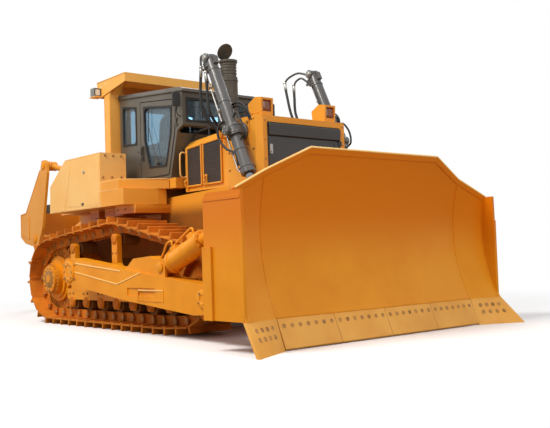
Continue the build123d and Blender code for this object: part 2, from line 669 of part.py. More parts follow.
for side, name in SIDES:
    with BuildPart() as door:
        outside, inside = mirrored_y(side, cab_half + 4, cab_half - 36)
        side_plate(door_outline, outside, inside)
        for z in door_hinges:
            foot, top = [(hinge_x, side * hinge_y, z + rise) for rise in (-knuckle, knuckle)]
            round_bar(foot, top, knuckle_radius)
            block((hinge_x - 60, hinge_x), (side * (cab_half + 2), side * hinge_y), (foot[2], top[2]))
            round_bar(foot, top, hinge_pin + seat_gap, mode=Mode.SUBTRACT)
        side_plate(door_window, side * (cab_half + 10), side * (cab_half - 50), mode=Mode.SUBTRACT)
        # handle
        block((door_rear_x + 40, door_rear_x + 80), mirrored_y(side, cab_half + 4, cab_half + 40),
              door_handle)
    finish(door, f"door_{name}")
    with BuildPart() as door_glass:
        pane = side * (cab_half - 12)
        side_plate(inset(door_window, seat_gap, seat_gap), pane, pane - side * glass)
    finish(door_glass, f"door_glass_{name}")

with BuildPart() as operator_seat:
    block((250, 760), (-260, 260), (cab_floor_z + cab_wall + 0.3, cab_floor_z + 280))
    block((270, 800), (-270, 270), (cab_floor_z + 280, cab_floor_z + 430))
    side_plate([(200, cab_floor_z + 400), (330, cab_floor_z + 400), (260, seat_back_top),
                (150, seat_back_top)], -250, 250)
finish(operator_seat, "operator_seat")

with BuildPart() as control_consoles:
    for side in (RIGHT, LEFT):
        block((250, 900), mirrored_y(side, 330, 600), (cab_floor_z + cab_wall + 0.3, cab_floor_z + 560))
    block((1050, 1270), (-300, 300), (cab_floor_z + 620, cab_floor_z + 700))
    block((1080, 1160), (-200, 200), (cab_floor_z + cab_wall + 0.3, cab_floor_z + 650))
finish(control_consoles, "control_consoles")

# ---------------------------------------------------------------- rollover frame
for side, name in SIDES:
    with BuildPart() as rops_post:
        block((post_rear, post_front), mirrored_y(side, post_inner, post_outer),
              (frame_high + seat_gap, canopy_top - canopy_sheet - seat_gap))
        side_plate([(post_front - 5, canopy_top - 60), (post_front + 140, canopy_top - 60),
                    (post_front - 5, canopy_top - 260)], side * (post_inner + 60), side * (post_outer - 60))
    finish(rops_post, f"rops_post_{name}")

with BuildPart() as rops_roof:
    side_plate([(canopy_rear, canopy_top - 250), (canopy_rear + 140, canopy_top - 250),
                (canopy_front, canopy_top - canopy_depth), (canopy_front, canopy_top),
                (canopy_rear, canopy_top - 15)], -canopy_half, canopy_half)
    underside = canopy_top - canopy_sheet
    side_plate([(canopy_rear + 12, canopy_top - 270), (canopy_rear + 160, canopy_top - 270),
                (canopy_front - 12, canopy_top - canopy_depth - 20), (canopy_front - 12, underside),
                (canopy_rear + 12, underside)], -canopy_half + 12, canopy_half - 12, mode=Mode.SUBTRACT)
    for side in (RIGHT, LEFT):
        block((canopy_rear - 10, canopy_rear + 180), mirrored_y(side, canopy_half - 6, canopy_half + 130),
              (canopy_top - 262, canopy_top - 250))
finish(rops_roof, "rops_roof")

with BuildPart() as work_lamps:
    for side in (RIGHT, LEFT):
        block((canopy_rear + 10, canopy_rear + 130), mirrored_y(side, canopy_half + 10, canopy_half + 120),
              (canopy_top - 249.7, canopy_top - 120))
finish(work_lamps, "work_lamps")

# ---------------------------------------------------------------- tanks and fenders
for side, name in SIDES:
    with BuildPart() as tank:
        side_plate([(tank_rear, tank_low), (tank_front, tank_low), (tank_front, tank_top),
                    (tank_rear + 550, tank_top), (tank_rear + 20, 2100)],
                   side * tank_inner, side * tank_outer)
        # shelves that carry the tank from the main frame, either side of the post
        for x_from, x_to, root in ((case_front + 20, post_rear - 6, case_half),
                                   (post_front + 6, tank_front, deck_half)):
            block((x_from, x_to), mirrored_y(side, root + seat_gap, tank_inner + 60),
                  (shelf_low, tank_low - seat_gap))
            block((x_from, x_to), mirrored_y(side, tank_inner + 5, tank_inner + 60),
                  (tank_low - 40, tank_low + 5))
    finish(tank, f"tank_{name}")
    with BuildPart() as fender:
        y_out, y_in, y_frame = mirrored_y(side, tank_outer, tank_inner, cab_half + 8)
        rear = tank_front + seat_gap
        deck_plate([(rear, y_out), (fender_front - 130, y_out), (1230, y_frame),
                    (post_front + 1, y_frame), (post_front + 1, y_in - side * 1), (rear, y_in - side * 1)],
                   mount_top, fender_top)
        deck_plate([(rear, y_out), (fender_front, y_out), (1160, side * 900), (1160, y_frame),
                    (rear, y_frame)], fender_low, mount_top)
        block((600, 1140), mirrored_y(side, rail_outer + seat_gap, 1250), (shelf_low, fender_low))
    finish(fender, f"fender_{name}")

with BuildPart() as cab_mount:
    # the deck that carries the cab over the main frame
    block((post_front + 1, 1380), (-cab_half + 5, cab_half - 5), (mount_top, cab_floor_z - seat_gap))
    block((0, 870), (-deck_half, deck_half), (frame_high + seat_gap, mount_top))
finish(cab_mount, "cab_mount")

with BuildPart() as fuel_tank:
    # across the back of the cab, between the posts
    side_plate([(case_rear + 100, tank_low), (post_rear - 6, tank_low), (post_rear - 6, 2500),
                (case_rear + 560, 2500), (case_rear + 100, 2150)], -tank_inner + 5, tank_inner - 5)
    block((case_rear + 100, post_rear - 6), (-case_half, case_half), (frame_high + seat_gap, tank_low + 5))
finish(fuel_tank, "fuel_tank")

# ---------------------------------------------------------------- push arms and blade
for side, name in SIDES:
    inner, outer = mirrored_y(side, arm_inner, arm_outer)
    with BuildPart() as push_arm:
        side_plate([(trunnion_x - 175, 700), (trunnion_x - 175, 900), (trunnion_x - 100, 985),
                    (trunnion_x + 60, 990), (1930, 792), (3330, 645), (3420, 560), (3420, 400),
                    (3330, 318), (3090, 309), (1500, 446), (200, 610), (trunnion_x - 60, 625)], inner, outer)
        cross_bar(trunnion_x, trunnion_z, trunnion_radius + pin_gap, inner - side * 20,
                  outer - side * 40, mode=Mode.SUBTRACT)
        # seat of the tilt brace on top of the arm
        side_plate([(1520, 800), (1760, 960), (2160, 985), (2250, 930), (2250, 720)], inner + side * 40,
                   outer - side * 30)
        for face in (RIGHT, LEFT):
            y_from = (inner + outer) / 2 + face * (brace_eye + seat_gap)
            side_plate([(2240, 720), (2240, 940), (2440, 950), (2520, 880), (2520, 700)],
                       y_from, y_from + face * 30)
        block((1650, 2300), (outer - side * 14, outer + side * 2), (500, 600), mode=Mode.SUBTRACT)
    finish(push_arm, f"push_arm_{name}")

def face_x(z):
    """Front face of the moldboard: a circular arc that bows backwards."""
    share = (z - blade_seam_z) / (blade_top_z - blade_seam_z)
    straight = blade_x + (blade_top_x - blade_x) * share
    return straight - 4 * blade_sag * share * (1 - share)


def moldboard_section(extra):
    """Outline of the moldboard plate in x and z, from arcs front and back."""
    middle_z = (blade_seam_z + blade_top_z) / 2
    front = ThreePointArc((blade_x, blade_seam_z), (face_x(middle_z), middle_z), (blade_top_x, blade_top_z))
    back = ThreePointArc((blade_top_x - extra, blade_top_z), (face_x(middle_z) - extra, middle_z),
                         (blade_x - extra, blade_seam_z))
    Line(front @ 1, back @ 0)
    Line(back @ 1, front @ 0)


with BuildPart() as blade:
    with BuildSketch(Plane.XZ.offset(-centre_half)) as section:
        with BuildLine():
            moldboard_section(moldboard_plate)
        make_face()
    extrude(section.sketch, amount=2 * centre_half)
    # wings turn forward from the ends of the middle section
    for side in (RIGHT, LEFT):
        shift = (blade_half - centre_half) * tan(radians(wing_angle))
        start = Plane(origin=(0, side * (centre_half - 1), 0), x_dir=(1, 0, 0), z_dir=(0, -1, 0))
        with BuildSketch(start) as root:
            with BuildLine():
                moldboard_section(moldboard_plate)
            make_face()
        tip = Plane(origin=(shift, side * blade_half, 0), x_dir=(1, 0, 0), z_dir=(0, -1, 0))
        with BuildSketch(tip) as end:
            with BuildLine():
                moldboard_section(moldboard_plate)
            make_face()
        loft([root.sketch.faces()[0], end.sketch.faces()[0]], ruled=True)
    # sloped shoulders
    for side in (RIGHT, LEFT):
        cross_plate([(side * top_flat_half, blade_top_z + 1), (side * (blade_half + 60), shoulder_z - 15),
                     (side * (blade_half + 60), blade_top_z + 40), (side * top_flat_half, blade_top_z + 40)],
                    3600, 4815, mode=Mode.SUBTRACT)
    # end plates with a stiffening strip down the rear edge
    for side in (RIGHT, LEFT):
        front_x = blade_top_x + 62
        rear_x = front_x - end_plate_depth
        side_plate([(rear_x, blade_seam_z), (front_x + 10, blade_seam_z), (front_x + 10, 1000),
                    (front_x, shoulder_z), (rear_x + 60, shoulder_z), (rear_x, shoulder_z - 60)],
                   side * (blade_half - end_plate), side * blade_half)
        block((rear_x, rear_x + 150), mirrored_y(side, blade_half - 2, blade_half + 26), (blade_seam_z, 1060))
    # back: lower box, upper tube and vertical ribs
    side_plate([(face_x(380) - 20, blade_seam_z), (face_x(380) - 300, blade_seam_z),
                (face_x(640) - 230, 640), (face_x(660) - 20, 660)], -blade_half + 10, blade_half - 10)
    side_plate([(blade_top_x - 20, blade_top_z), (blade_top_x - 160, blade_top_z - 30),
                (face_x(1800) - 120, 1850), (face_x(1780) - 20, 1790)], -top_flat_half, top_flat_half)
    for y in [side * place for side in (RIGHT, LEFT) for place in rib_y]:
        forward = max(0, abs(y) - centre_half) * tan(radians(wing_angle))
        inside_plate = [(face_x(z) + forward - 22, z) for z in range(1520, 599, -115)]
        side_plate(inside_plate + [(face_x(600) - 190, 600), (face_x(1000) - 150, 1000),
                                   (face_x(1500) - 110, shoulder_z - 90)], y - 20, y + 20)
    # push-arm brackets
    for side in (RIGHT, LEFT):
        for y_from, y_to in ((arm_inner - 58, arm_inner - seat_gap), (arm_outer + seat_gap, arm_outer + 58)):
            side_plate([(arm_bracket_rear, 400), (arm_bracket_bend, 330),
                        (face_x(380) - 200, blade_seam_z + 2), (face_x(700) - 30, 700),
                        (face_x(700) - 200, 700), (arm_bracket_bend, 640), (arm_bracket_rear, 560)],
                       side * y_from, side * y_to)
        block((3440, face_x(380) - 200), mirrored_y(side, arm_inner - 10, arm_outer + 10), (330, 620))
        # lift ears
        slot = eye_width / 2 + ear_clearance
        for face in (RIGHT, LEFT):
            y_from = side * lift_y + face * slot
            side_plate([(lift_pin_x - 85, lift_pin_z - 50), (lift_pin_x - 50, lift_pin_z - 90),
                        (face_x(380) - 250, 390), (face_x(560) - 100, 560), (face_x(980) - 30, 980),
                        (lift_pin_x - 10, lift_pin_z + 95), (lift_pin_x - 85, lift_pin_z + 50)],
                       y_from, y_from + face * ear_thickness)
        # tilt-brace ears high on the back
        for face in (RIGHT, LEFT):
            y_from = side * (arm_inner + arm_outer) / 2 + face * 125
            bite = 5 if face == side else -30
            side_plate([(3440, 1190), (3520, 1160), (face_x(1100) + bite, 1040), (face_x(1400) + bite, 1420),
                        (3560, 1370), (3440, 1330)], y_from, y_from + face * 40)
finish(blade, "blade")

with BuildPart() as cutting_edges:
    seam = 3
    width = 2 * centre_half / edge_plates
    for number in range(edge_plates):
        y_from = -centre_half + number * width
        edge_top = blade_seam_z - seat_gap
        side_plate([(blade_x - 45, edge_top), (blade_x - 2, edge_top), (edge_tip_x, edge_low + 12),
                    (edge_tip_x - 6, edge_low), (edge_tip_x - 44, edge_low + 6)],
                   y_from + seam, y_from + width - seam)
finish(cutting_edges, "cutting_edges")

with BuildPart() as end_bits:
    for side in (RIGHT, LEFT):
        inner = side * (centre_half + 6)
        outer = side * bit_tip_y
        # a plate swept from the seam down and forward to the pointed outer corner
        top = [(blade_x - 40, inner), (blade_x, inner), (blade_top_x + 100, side * (blade_half + 8)),
               (blade_top_x + 58, side * (blade_half + 8))]
        low = [(edge_tip_x - 42, inner), (edge_tip_x, inner), (bit_tip_x, outer), (bit_tip_x - 50, outer)]
        with BuildSketch(Plane.XY.offset(blade_seam_z - seat_gap)) as upper:
            with BuildLine():
                Polyline(*top, close=True)
            make_face()
        with BuildSketch(Plane.XY.offset(0)) as lower:
            with BuildLine():
                Polyline(*low, close=True)
            make_face()
        loft([upper.sketch.faces()[0], lower.sketch.faces()[0]], ruled=True)
finish(end_bits, "end_bits")

# tilt braces between the arms and the top of the blade: a cylinder on the right, a strut on the left
brace_low, brace_high = (2420, 850), (3500, 1262)
for side, name in SIDES:
    y = side * (arm_inner + arm_outer) / 2
    run = Vector(brace_high[0] - brace_low[0], 0, brace_high[1] - brace_low[1])
    unit = run.normalized()
    with BuildPart() as brace:
        start = Vector(brace_low[0], y, brace_low[1])
        end = Vector(brace_high[0], y, brace_high[1])
        body = 118 if side == RIGHT else 95
        round_bar(tuple(start), tuple(start + unit * 150), 66)
        round_bar(tuple(start + unit * 140), tuple(start + unit * 820), body)
        round_bar(tuple(start + unit * 800), tuple(end), 70)
        cross_bar(start.X, start.Z, 92, y - brace_eye, y + brace_eye)
        cross_bar(end.X, end.Z, 110, y - 95, y + 95)
        cross_bar(end.X, end.Z, 55, y - 124.7, y + 124.7)
    finish(brace, f"tilt_brace_{name}")

# ---------------------------------------------------------------- lift cylinders
lift_run = Vector(lift_pin_x - yoke_x, 0, lift_pin_z - yoke_z)
lift_unit = lift_run.normalized()
lift_length = lift_run.length
print("lift cylinder, pin to trunnion", round(lift_length, 1))
for side, name in SIDES:
    yoke = Vector(yoke_x, side * lift_y, yoke_z)
    pin = Vector(lift_pin_x, side * lift_y, lift_pin_z)
    with BuildPart() as barrel:
        top, foot = yoke - lift_unit * barrel_above, yoke + lift_unit * barrel_below
        round_bar(tuple(top), tuple(foot), barrel_radius)
        round_bar(tuple(foot - lift_unit * 90), tuple(foot), barrel_radius + 14)
        round_bar(tuple(top + lift_unit * 60), tuple(foot + lift_unit * 10), rod_radius + pin_gap,
                  mode=Mode.SUBTRACT)
        # the clamp ring with its trunnion pins
        with BuildSketch(Plane(origin=yoke - lift_unit * 75, z_dir=lift_unit)) as ring:
            Circle(barrel_radius + 30)
            Circle(barrel_radius - 2, mode=Mode.SUBTRACT)
        extrude(ring.sketch, amount=150)
        outside = lift_y + barrel_radius
        cross_bar(yoke_x, yoke_z, 62, side * (outside + 20), side * (outside + 60))
        cross_bar(yoke_x, yoke_z, 92, side * (lift_pad + seat_gap), side * (lift_y - barrel_radius - 2))
        # the valve block behind the head
        head = yoke - lift_unit * (barrel_above - 90)
        with Locations(Location(Plane(origin=head, x_dir=(0, 1, 0), z_dir=lift_unit))):
            Box(70, 2 * barrel_radius + 60, 110)
            Cylinder(rod_radius + pin_gap, 140, mode=Mode.SUBTRACT)
    finish(barrel, f"lift_barrel_{name}")
    with BuildPart() as rod:
        round_bar(tuple(yoke - lift_unit * rod_above), tuple(pin - lift_unit * (eye_radius - 20)),
                  rod_radius)
        cross_bar(lift_pin_x, lift_pin_z, eye_radius, side * lift_y - eye_width / 2,
                  side * lift_y + eye_width / 2)
        cross_bar(lift_pin_x, lift_pin_z, 40, side * lift_y - eye_width, side * lift_y + eye_width,
                  mode=Mode.SUBTRACT)
    finish(rod, f"lift_rod_{name}")

# ---------------------------------------------------------------- ripper
top_pin = (ripper_pin_x + top_link_dx, ripper_pin_z + top_link_dz)
carrier_top = (carrier_pin_x + top_link_dx, carrier_pin_z + top_link_dz)
bracket_rear = case_rear - 40 - seat_gap
with BuildPart() as ripper_bracket:
    block((bracket_rear, bracket_rear - 60), (-560, 560), (800, frame_high))
    for side in (RIGHT, LEFT):
        # outer plates hold the lower arms, inner ones the two rows of cylinders
        side_plate([(bracket_rear, 800), (ripper_pin_x - 90, 920), (ripper_pin_x - 90, 1080),
                    (bracket_rear - 120, 1300), (bracket_rear - 60, frame_high), (bracket_rear, frame_high)],
                   side * (arm_out + 12), side * (arm_out + 62))
        cross_bar(ripper_pin_x, ripper_pin_z, 48, side * (arm_in - 20), side * (arm_out + 62))
        plate_inner, plate_outer = pitch_y - pitch_width / 2 - 42, pitch_y + pitch_width / 2 + 10
        for y in (plate_inner, plate_outer):
            ear_x, ear_z = ripper_lift_top[0] - 90, ripper_lift_top[1]
            side_plate([(bracket_rear - 50, frame_high - 120), (ear_x, ear_z - 20), (ear_x, ear_z + 60),
                        (top_pin[0] - 90, top_pin[1] - 40), (top_pin[0] - 60, top_pin[1] + 90),
                        (top_pin[0] + 70, top_pin[1] + 60),
                        (case_rear + 90, frame_high + seat_gap), (bracket_rear, frame_high + seat_gap),
                        (bracket_rear, frame_high - 120)],
                       side * y, side * (y + 32))
        cross_bar(*top_pin, 45, side * plate_inner, side * (plate_outer + 32))
        cross_bar(*ripper_lift_top, 40, side * (ripper_lift_y - ripper_eye / 2 - 5),
                  side * (pitch_y - pitch_width / 2 - 10))
finish(ripper_bracket, "ripper_bracket")


def link_outline(start, end, half_depth):
    """A straight link's outline in x and z between two pins."""
    run = Vector(end[0] - start[0], 0, end[1] - start[1]).normalized()
    side_x, side_z = -run.Z * half_depth, run.X * half_depth
    return [(start[0] + side_x, start[1] + side_z), (end[0] + side_x, end[1] + side_z),
            (end[0] - side_x, end[1] - side_z), (start[0] - side_x, start[1] - side_z)]


arm_ends = (ripper_pin_x, ripper_pin_z), (carrier_pin_x, carrier_pin_z)
with BuildPart() as ripper_arm:
    for side in (RIGHT, LEFT):
        y_in, y_out = mirrored_y(side, arm_in, arm_out)
        side_plate(link_outline(*arm_ends, 115), y_in, y_out)
        for x, z in arm_ends:
            cross_bar(x, z, 125, y_in, y_out)
            cross_bar(x, z, 48 + pin_gap, y_in - side * 10, y_out + side * 10, mode=Mode.SUBTRACT)
    # cross tube with the ears of the lift rods
    cross_bar(ripper_lift_low[0] - 30, ripper_lift_low[1] - 178, 90, -arm_in - 10, arm_in + 10)
    for side in (RIGHT, LEFT):
        for face in (RIGHT, LEFT):
            y_from = side * ripper_lift_y + face * (ripper_eye / 2 + 12)
            side_plate([(ripper_lift_low[0] - 110, ripper_lift_low[1] - 190),
                        (ripper_lift_low[0] + 50, ripper_lift_low[1] - 190),
                        (ripper_lift_low[0] + 70, ripper_lift_low[1] + 40),
                        (ripper_lift_low[0] - 30, ripper_lift_low[1] + 60)], y_from, y_from + face * 28)
finish(ripper_arm, "ripper_arm")

mast_outline = [(-3266, 2790), (-3215, 2735), (-3180, 2546), (-3340, 1888), (-3420, 1560), (-3610, 1250),
                (-3870, 1240), (-4180, 1300), (ripper_rear, 1420), (ripper_rear, 1850), (-4120, 1880),
                (-3452, 2640), (-3400, 2790)]
with BuildPart() as ripper_carrier:
    for side in (RIGHT, LEFT):
        side_plate(mast_outline, side * mast_inner, side * mast_outer)
        cross_bar(carrier_pin_x, carrier_pin_z, 48, side * (arm_in - 20), side * (mast_inner + 5))
        cross_bar(*carrier_top, 45, side * (pitch_y - pitch_width / 2 - 30), side * (mast_inner + 5))
        cross_bar(*carrier_top, 90, side * (pitch_y + pitch_width / 2 + 12), side * (mast_inner + 5))
    # the beam between the masts, with the shank's pocket through its middle
    side_plate([(-3930, 1290), (-4170, 1310), (ripper_rear + 10, 1425), (ripper_rear + 10, 1840),
                (-4120, 1860), (-3930, 1860)], -mast_inner - 5, mast_inner + 5)
    block((ripper_rear - 10, ripper_rear + 60), (-150, 150), (1280, 1900))
    block((ripper_rear - 120, -4000), (-shank_thick / 2 - 6, shank_thick / 2 + 6), (1200, 1960),
          mode=Mode.SUBTRACT)
    for z in (1480, 1780):
        for side in (RIGHT, LEFT):
            cross_bar(-4200, z, shank_pin, side * 10, side * (shank_thick / 2 + 40))
finish(ripper_carrier, "ripper_carrier")

shank_front = -4040
with BuildPart() as ripper_shank:
    side_plate([(shank_front, 2040), (ripper_rear + 25, 2040), (ripper_rear + 25, 1180), (-4440, 800),
                (-4560, 480), (-4700, 330), (-4650, 230), (-4420, 330), (-4180, 640), (-4060, 1000),
                (shank_front, 1200)], -shank_thick / 2, shank_thick / 2)
    for z in (1480, 1780):
        cross_bar(-4200, z, shank_pin + seat_gap, -shank_thick, shank_thick, mode=Mode.SUBTRACT)
    # replaceable point and shin guard
    side_plate([(-4560, 500), (shank_rear, 190), (shank_rear + 10, shank_tip_z), (-4400, 300)], -62, 62)
finish(ripper_shank, "ripper_shank")

pitch_run = Vector(carrier_top[0] - top_pin[0], 0, carrier_top[1] - top_pin[1])
pitch_unit = pitch_run.normalized()
with BuildPart() as pitch_cylinders:
    for side in (RIGHT, LEFT):
        start = Vector(top_pin[0], side * pitch_y, top_pin[1])
        end = Vector(carrier_top[0], side * pitch_y, carrier_top[1])
        round_bar(tuple(start + pitch_unit * 60), tuple(start + pitch_unit * (pitch_neck + 10)), 50)
        round_bar(tuple(start + pitch_unit * pitch_neck), tuple(start + pitch_unit * 1130), 88)
        round_bar(tuple(start + pitch_unit * 1100), tuple(end - pitch_unit * 60), 50)
        for pin in (start, end):
            cross_bar(pin.X, pin.Z, 84, pin.Y - pitch_width / 2, pin.Y + pitch_width / 2)
            cross_bar(pin.X, pin.Z, 45 + pin_gap, pin.Y - pitch_width, pin.Y + pitch_width,
                      mode=Mode.SUBTRACT)
finish(pitch_cylinders, "pitch_cylinders")

rip_run = Vector(ripper_lift_low[0] - ripper_lift_top[0], 0, ripper_lift_low[1] - ripper_lift_top[1])
rip_unit = rip_run.normalized()
rip_barrel = 1000
print("ripper lift cylinder, pin to pin", round(rip_run.length, 1))
with BuildPart() as ripper_lift_barrels:
    for side in (RIGHT, LEFT):
        start = Vector(ripper_lift_top[0], side * ripper_lift_y, ripper_lift_top[1])
        round_bar(tuple(start + rip_unit * 50), tuple(start + rip_unit * rip_barrel), 85)
        round_bar(tuple(start + rip_unit * (rip_barrel - 70)), tuple(start + rip_unit * rip_barrel), 95)
        cross_bar(start.X, start.Z, 78, start.Y - ripper_eye / 2, start.Y + ripper_eye / 2)
        cross_bar(start.X, start.Z, 40 + pin_gap, start.Y - ripper_eye, start.Y + ripper_eye,
                  mode=Mode.SUBTRACT)
        round_bar(tuple(start + rip_unit * 110), tuple(start + rip_unit * (rip_barrel + 10)),
                  45 + pin_gap, mode=Mode.SUBTRACT)
finish(ripper_lift_barrels, "ripper_lift_barrels")

with BuildPart() as ripper_lift_rods:
    for side in (RIGHT, LEFT):
        start = Vector(ripper_lift_top[0], side * ripper_lift_y, ripper_lift_top[1])
        end = Vector(ripper_lift_low[0], side * ripper_lift_y, ripper_lift_low[1])
        round_bar(tuple(start + rip_unit * 400), tuple(end - rip_unit * 60), 45)
        cross_bar(end.X, end.Z, 75, end.Y - ripper_eye / 2, end.Y + ripper_eye / 2)
        cross_bar(end.X, end.Z, 38, end.Y - ripper_eye, end.Y + ripper_eye, mode=Mode.SUBTRACT)
finish(ripper_lift_rods, "ripper_lift_rods")
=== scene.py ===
import json
import math
import bmesh
import bpy
import numpy as np
from mathutils import Matrix, Vector

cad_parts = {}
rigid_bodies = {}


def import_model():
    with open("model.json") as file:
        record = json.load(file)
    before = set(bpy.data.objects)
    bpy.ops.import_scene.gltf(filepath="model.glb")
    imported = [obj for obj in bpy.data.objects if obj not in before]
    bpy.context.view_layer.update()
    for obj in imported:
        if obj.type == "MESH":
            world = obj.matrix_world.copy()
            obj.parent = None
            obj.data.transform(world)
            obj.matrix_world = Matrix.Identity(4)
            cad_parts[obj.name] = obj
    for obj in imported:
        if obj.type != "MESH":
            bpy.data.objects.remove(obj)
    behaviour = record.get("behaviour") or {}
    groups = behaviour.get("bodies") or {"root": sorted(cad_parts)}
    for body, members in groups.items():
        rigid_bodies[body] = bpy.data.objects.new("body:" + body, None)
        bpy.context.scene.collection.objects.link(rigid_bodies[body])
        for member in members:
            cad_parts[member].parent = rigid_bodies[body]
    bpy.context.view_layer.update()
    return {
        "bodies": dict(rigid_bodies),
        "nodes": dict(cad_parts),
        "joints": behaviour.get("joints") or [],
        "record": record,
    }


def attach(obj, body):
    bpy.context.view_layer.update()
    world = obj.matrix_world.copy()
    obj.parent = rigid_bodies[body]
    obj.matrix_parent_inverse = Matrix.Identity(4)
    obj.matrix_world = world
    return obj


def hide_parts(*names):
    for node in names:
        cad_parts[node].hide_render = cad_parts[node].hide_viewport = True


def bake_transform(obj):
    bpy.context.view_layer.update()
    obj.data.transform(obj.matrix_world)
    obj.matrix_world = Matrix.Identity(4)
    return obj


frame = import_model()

# A crawler dozer dressed over its frame: metres, +X forward, +Y the operator's left, Z = 0 the ground.
nodes = frame["nodes"]
sides = (-1, 1)  # right, left
sideName = {-1: "right", 1: "left"}
sideLetter = {-1: "r", 1: "l"}


# Shapes on grids.
def quadGrid(rows, columns, closeRows=False, closeColumns=False):
    # each face joins point (i, j) to the next row and the next column, and wraps where a way is closed
    i, j = np.meshgrid(np.arange(rows if closeRows else rows - 1),
                       np.arange(columns if closeColumns else columns - 1), indexing="ij")
    i, j = i.ravel(), j.ravel()
    nextI, nextJ = (i + 1) % rows, (j + 1) % columns
    return np.stack([i * columns + j, nextI * columns + j, nextI * columns + nextJ, i * columns + nextJ],
                    1).tolist()


def unit(vector):
    # the vector divided by its length
    vector = np.asarray(vector, float)
    return vector / np.linalg.norm(vector)


def squareAxes(axis):
    # two directions square to the axis and to each other
    axis = unit(axis)
    helper = np.array([0, 0, 1.0]) if abs(axis[2]) < 0.9 else np.array([1.0, 0, 0])
    first = unit(np.cross(helper, axis))
    return first, np.cross(axis, first)


def turned(profile, centre, axis, count=28, ring=False):
    # every (radius, height) of the profile, carried round the axis: centre + height*axis + radius*(cos, sin)
    profile = np.asarray(profile, float)
    first, second = squareAxes(axis)
    angle = np.linspace(0, 2 * math.pi, count, endpoint=False)[:, None, None]
    circle = np.cos(angle) * first + np.sin(angle) * second
    points = np.asarray(centre, float) + profile[None, :, 1:] * unit(axis) + profile[None, :, :1] * circle
    size = len(profile)
    faces = quadGrid(count, size, True, ring)
    if not ring:
        faces += [list(range(0, count * size, size)), list(range(size - 1, count * size, size))]
    return points.reshape(-1, 3), faces


def rod(start, end, radius, count=20, lip=0.0):
    # a round bar between two points, with its rims cut back by the lip
    run = np.subtract(end, start)
    length = np.linalg.norm(run)
    profile = [(radius - lip, 0), (radius, lip), (radius, length - lip), (radius - lip, length)]
    return turned(profile if lip else [(radius, 0), (radius, length)], start, run, count)


def prism(outline, origin, across, upward, depth):
    # the outline's points on two axes, and the same points a depth further along the third
    outline, across, upward = np.asarray(outline, float), unit(across), unit(upward)
    base = np.asarray(origin, float) + outline[:, :1] * across + outline[:, 1:] * upward
    points = np.concatenate([base, base + np.cross(across, upward) * depth])
    size = len(outline)
    walls = [[k, (k + 1) % size, size + (k + 1) % size, size + k] for k in range(size)]
    return points, walls + [list(range(size))[::-1], list(range(size, 2 * size))]


def roundedOutline(width, height, corner, steps=4):
    # a rectangle about its middle, its corners quarter circles
    angle = np.linspace(0, math.pi / 2, steps + 1)
    arc = np.stack([np.cos(angle), np.sin(angle)], 1) * corner
    middle = np.array([width / 2 - corner, height / 2 - corner])
    turn = np.array([[0, -1], [1, 0]])
    rows, flip = [], np.eye(2)
    for quarter in range(4):
        signs = ((1, 1), (-1, 1), (-1, -1), (1, -1))[quarter]
        rows.append(arc @ flip.T + middle * signs)
        flip = turn @ flip
    return np.concatenate(rows)


def slab(low, high, corner=0.006, axis=2):
    # a rounded rectangle carried from the low face to the high face along one axis
    low, high = np.minimum(low, high).astype(float), np.maximum(low, high).astype(float)
    first, second = [k for k in range(3) if k != axis]
    if axis == 1:
        first, second = second, first
    size, middle = high - low, (low + high) / 2
    middle[axis] = low[axis]
    corner = min(corner, size[first] * 0.45, size[second] * 0.45)
    return prism(roundedOutline(size[first], size[second], corner), middle, np.eye(3)[first],
                 np.eye(3)[second], size[axis])


def smoothPath(points, steps=8):
    # a Catmull-Rom curve: each run is a cubic through its two ends, leaning along their neighbours
    points = np.asarray(points, float)
    padded = np.concatenate([2 * points[:1] - points[1:2], points, 2 * points[-1:] - points[-2:-1]])
    a, b, c, d = padded[:-3, None], padded[1:-2, None], padded[2:-1, None], padded[3:, None]
    t = np.linspace(0, 1, steps, endpoint=False)[None, :, None]
    curve = 0.5 * (2 * b + (c - a) * t + (2 * a - 5 * b + 4 * c - d) * t ** 2
                   + (3 * b - a - 3 * c + d) * t ** 3)
    return np.concatenate([curve.reshape(-1, 3), points[-1:]])


def alongPath(path, section, flat=None):
    # the section's (across, up) points on two axes square to the path, at every point of the path
    path, section = np.asarray(path, float), np.asarray(section, float)
    tangent = np.gradient(path, axis=0)
    tangent /= np.linalg.norm(tangent, axis=1, keepdims=True)
    if flat is None:
        flat = np.eye(3)[np.argmin(np.abs(tangent).max(0))]
    across = np.cross(tangent, flat)
    across /= np.linalg.norm(across, axis=1, keepdims=True)
    upward = np.cross(across, tangent)
    points = path[:, None] + section[None, :, :1] * across[:, None] + section[None, :, 1:] * upward[:, None]
    rows, columns = len(path), len(section)
    faces = quadGrid(rows, columns, False, True)
    faces += [list(range(columns)), list(range((rows - 1) * columns, rows * columns))[::-1]]
    return points.reshape(-1, 3), faces


def circleOutline(radius, count=10):
    # points of a circle about its middle
    angle = np.linspace(0, 2 * math.pi, count, endpoint=False)
    return np.stack([np.cos(angle), np.sin(angle)], 1) * radius


def hose(points, radius, steps=8, count=10, flat=None):
    # a circle carried along a smooth curve through the points
    return alongPath(smoothPath(points, steps), circleOutline(radius, count), flat)


def joined(shapes):
    # all points in one list, and each shape's faces counted on from the shapes before it
    points, faces, start = [], [], 0
    for shape, shapeFaces in shapes:
        points.append(shape)
        faces += [[start + k for k in face] for face in shapeFaces]
        start += len(shape)
    return np.concatenate(points), faces


def mirrored(shape):
    # y turned to the other side
    return shape[0] * np.array([1, -1, 1]), shape[1]


def spun(shape, centre, axis, angles):
    # the shape turned about an axis through the centre by each angle
    rows = []
    for angle in angles:
        turn = np.array(Matrix.Rotation(angle, 3, Vector(axis)))
        rows.append(((shape[0] - centre) @ turn.T + centre, shape[1]))
    return joined(rows)


def collar(centre, axis, inner, outer, width, lip=0.003, count=36):
    # a band round a bar: the outer radius between two rims, which fall to the inner radius within the lip
    return turned([(inner, 0), (outer, lip), (outer, width - lip), (inner, width)], centre, axis, count)


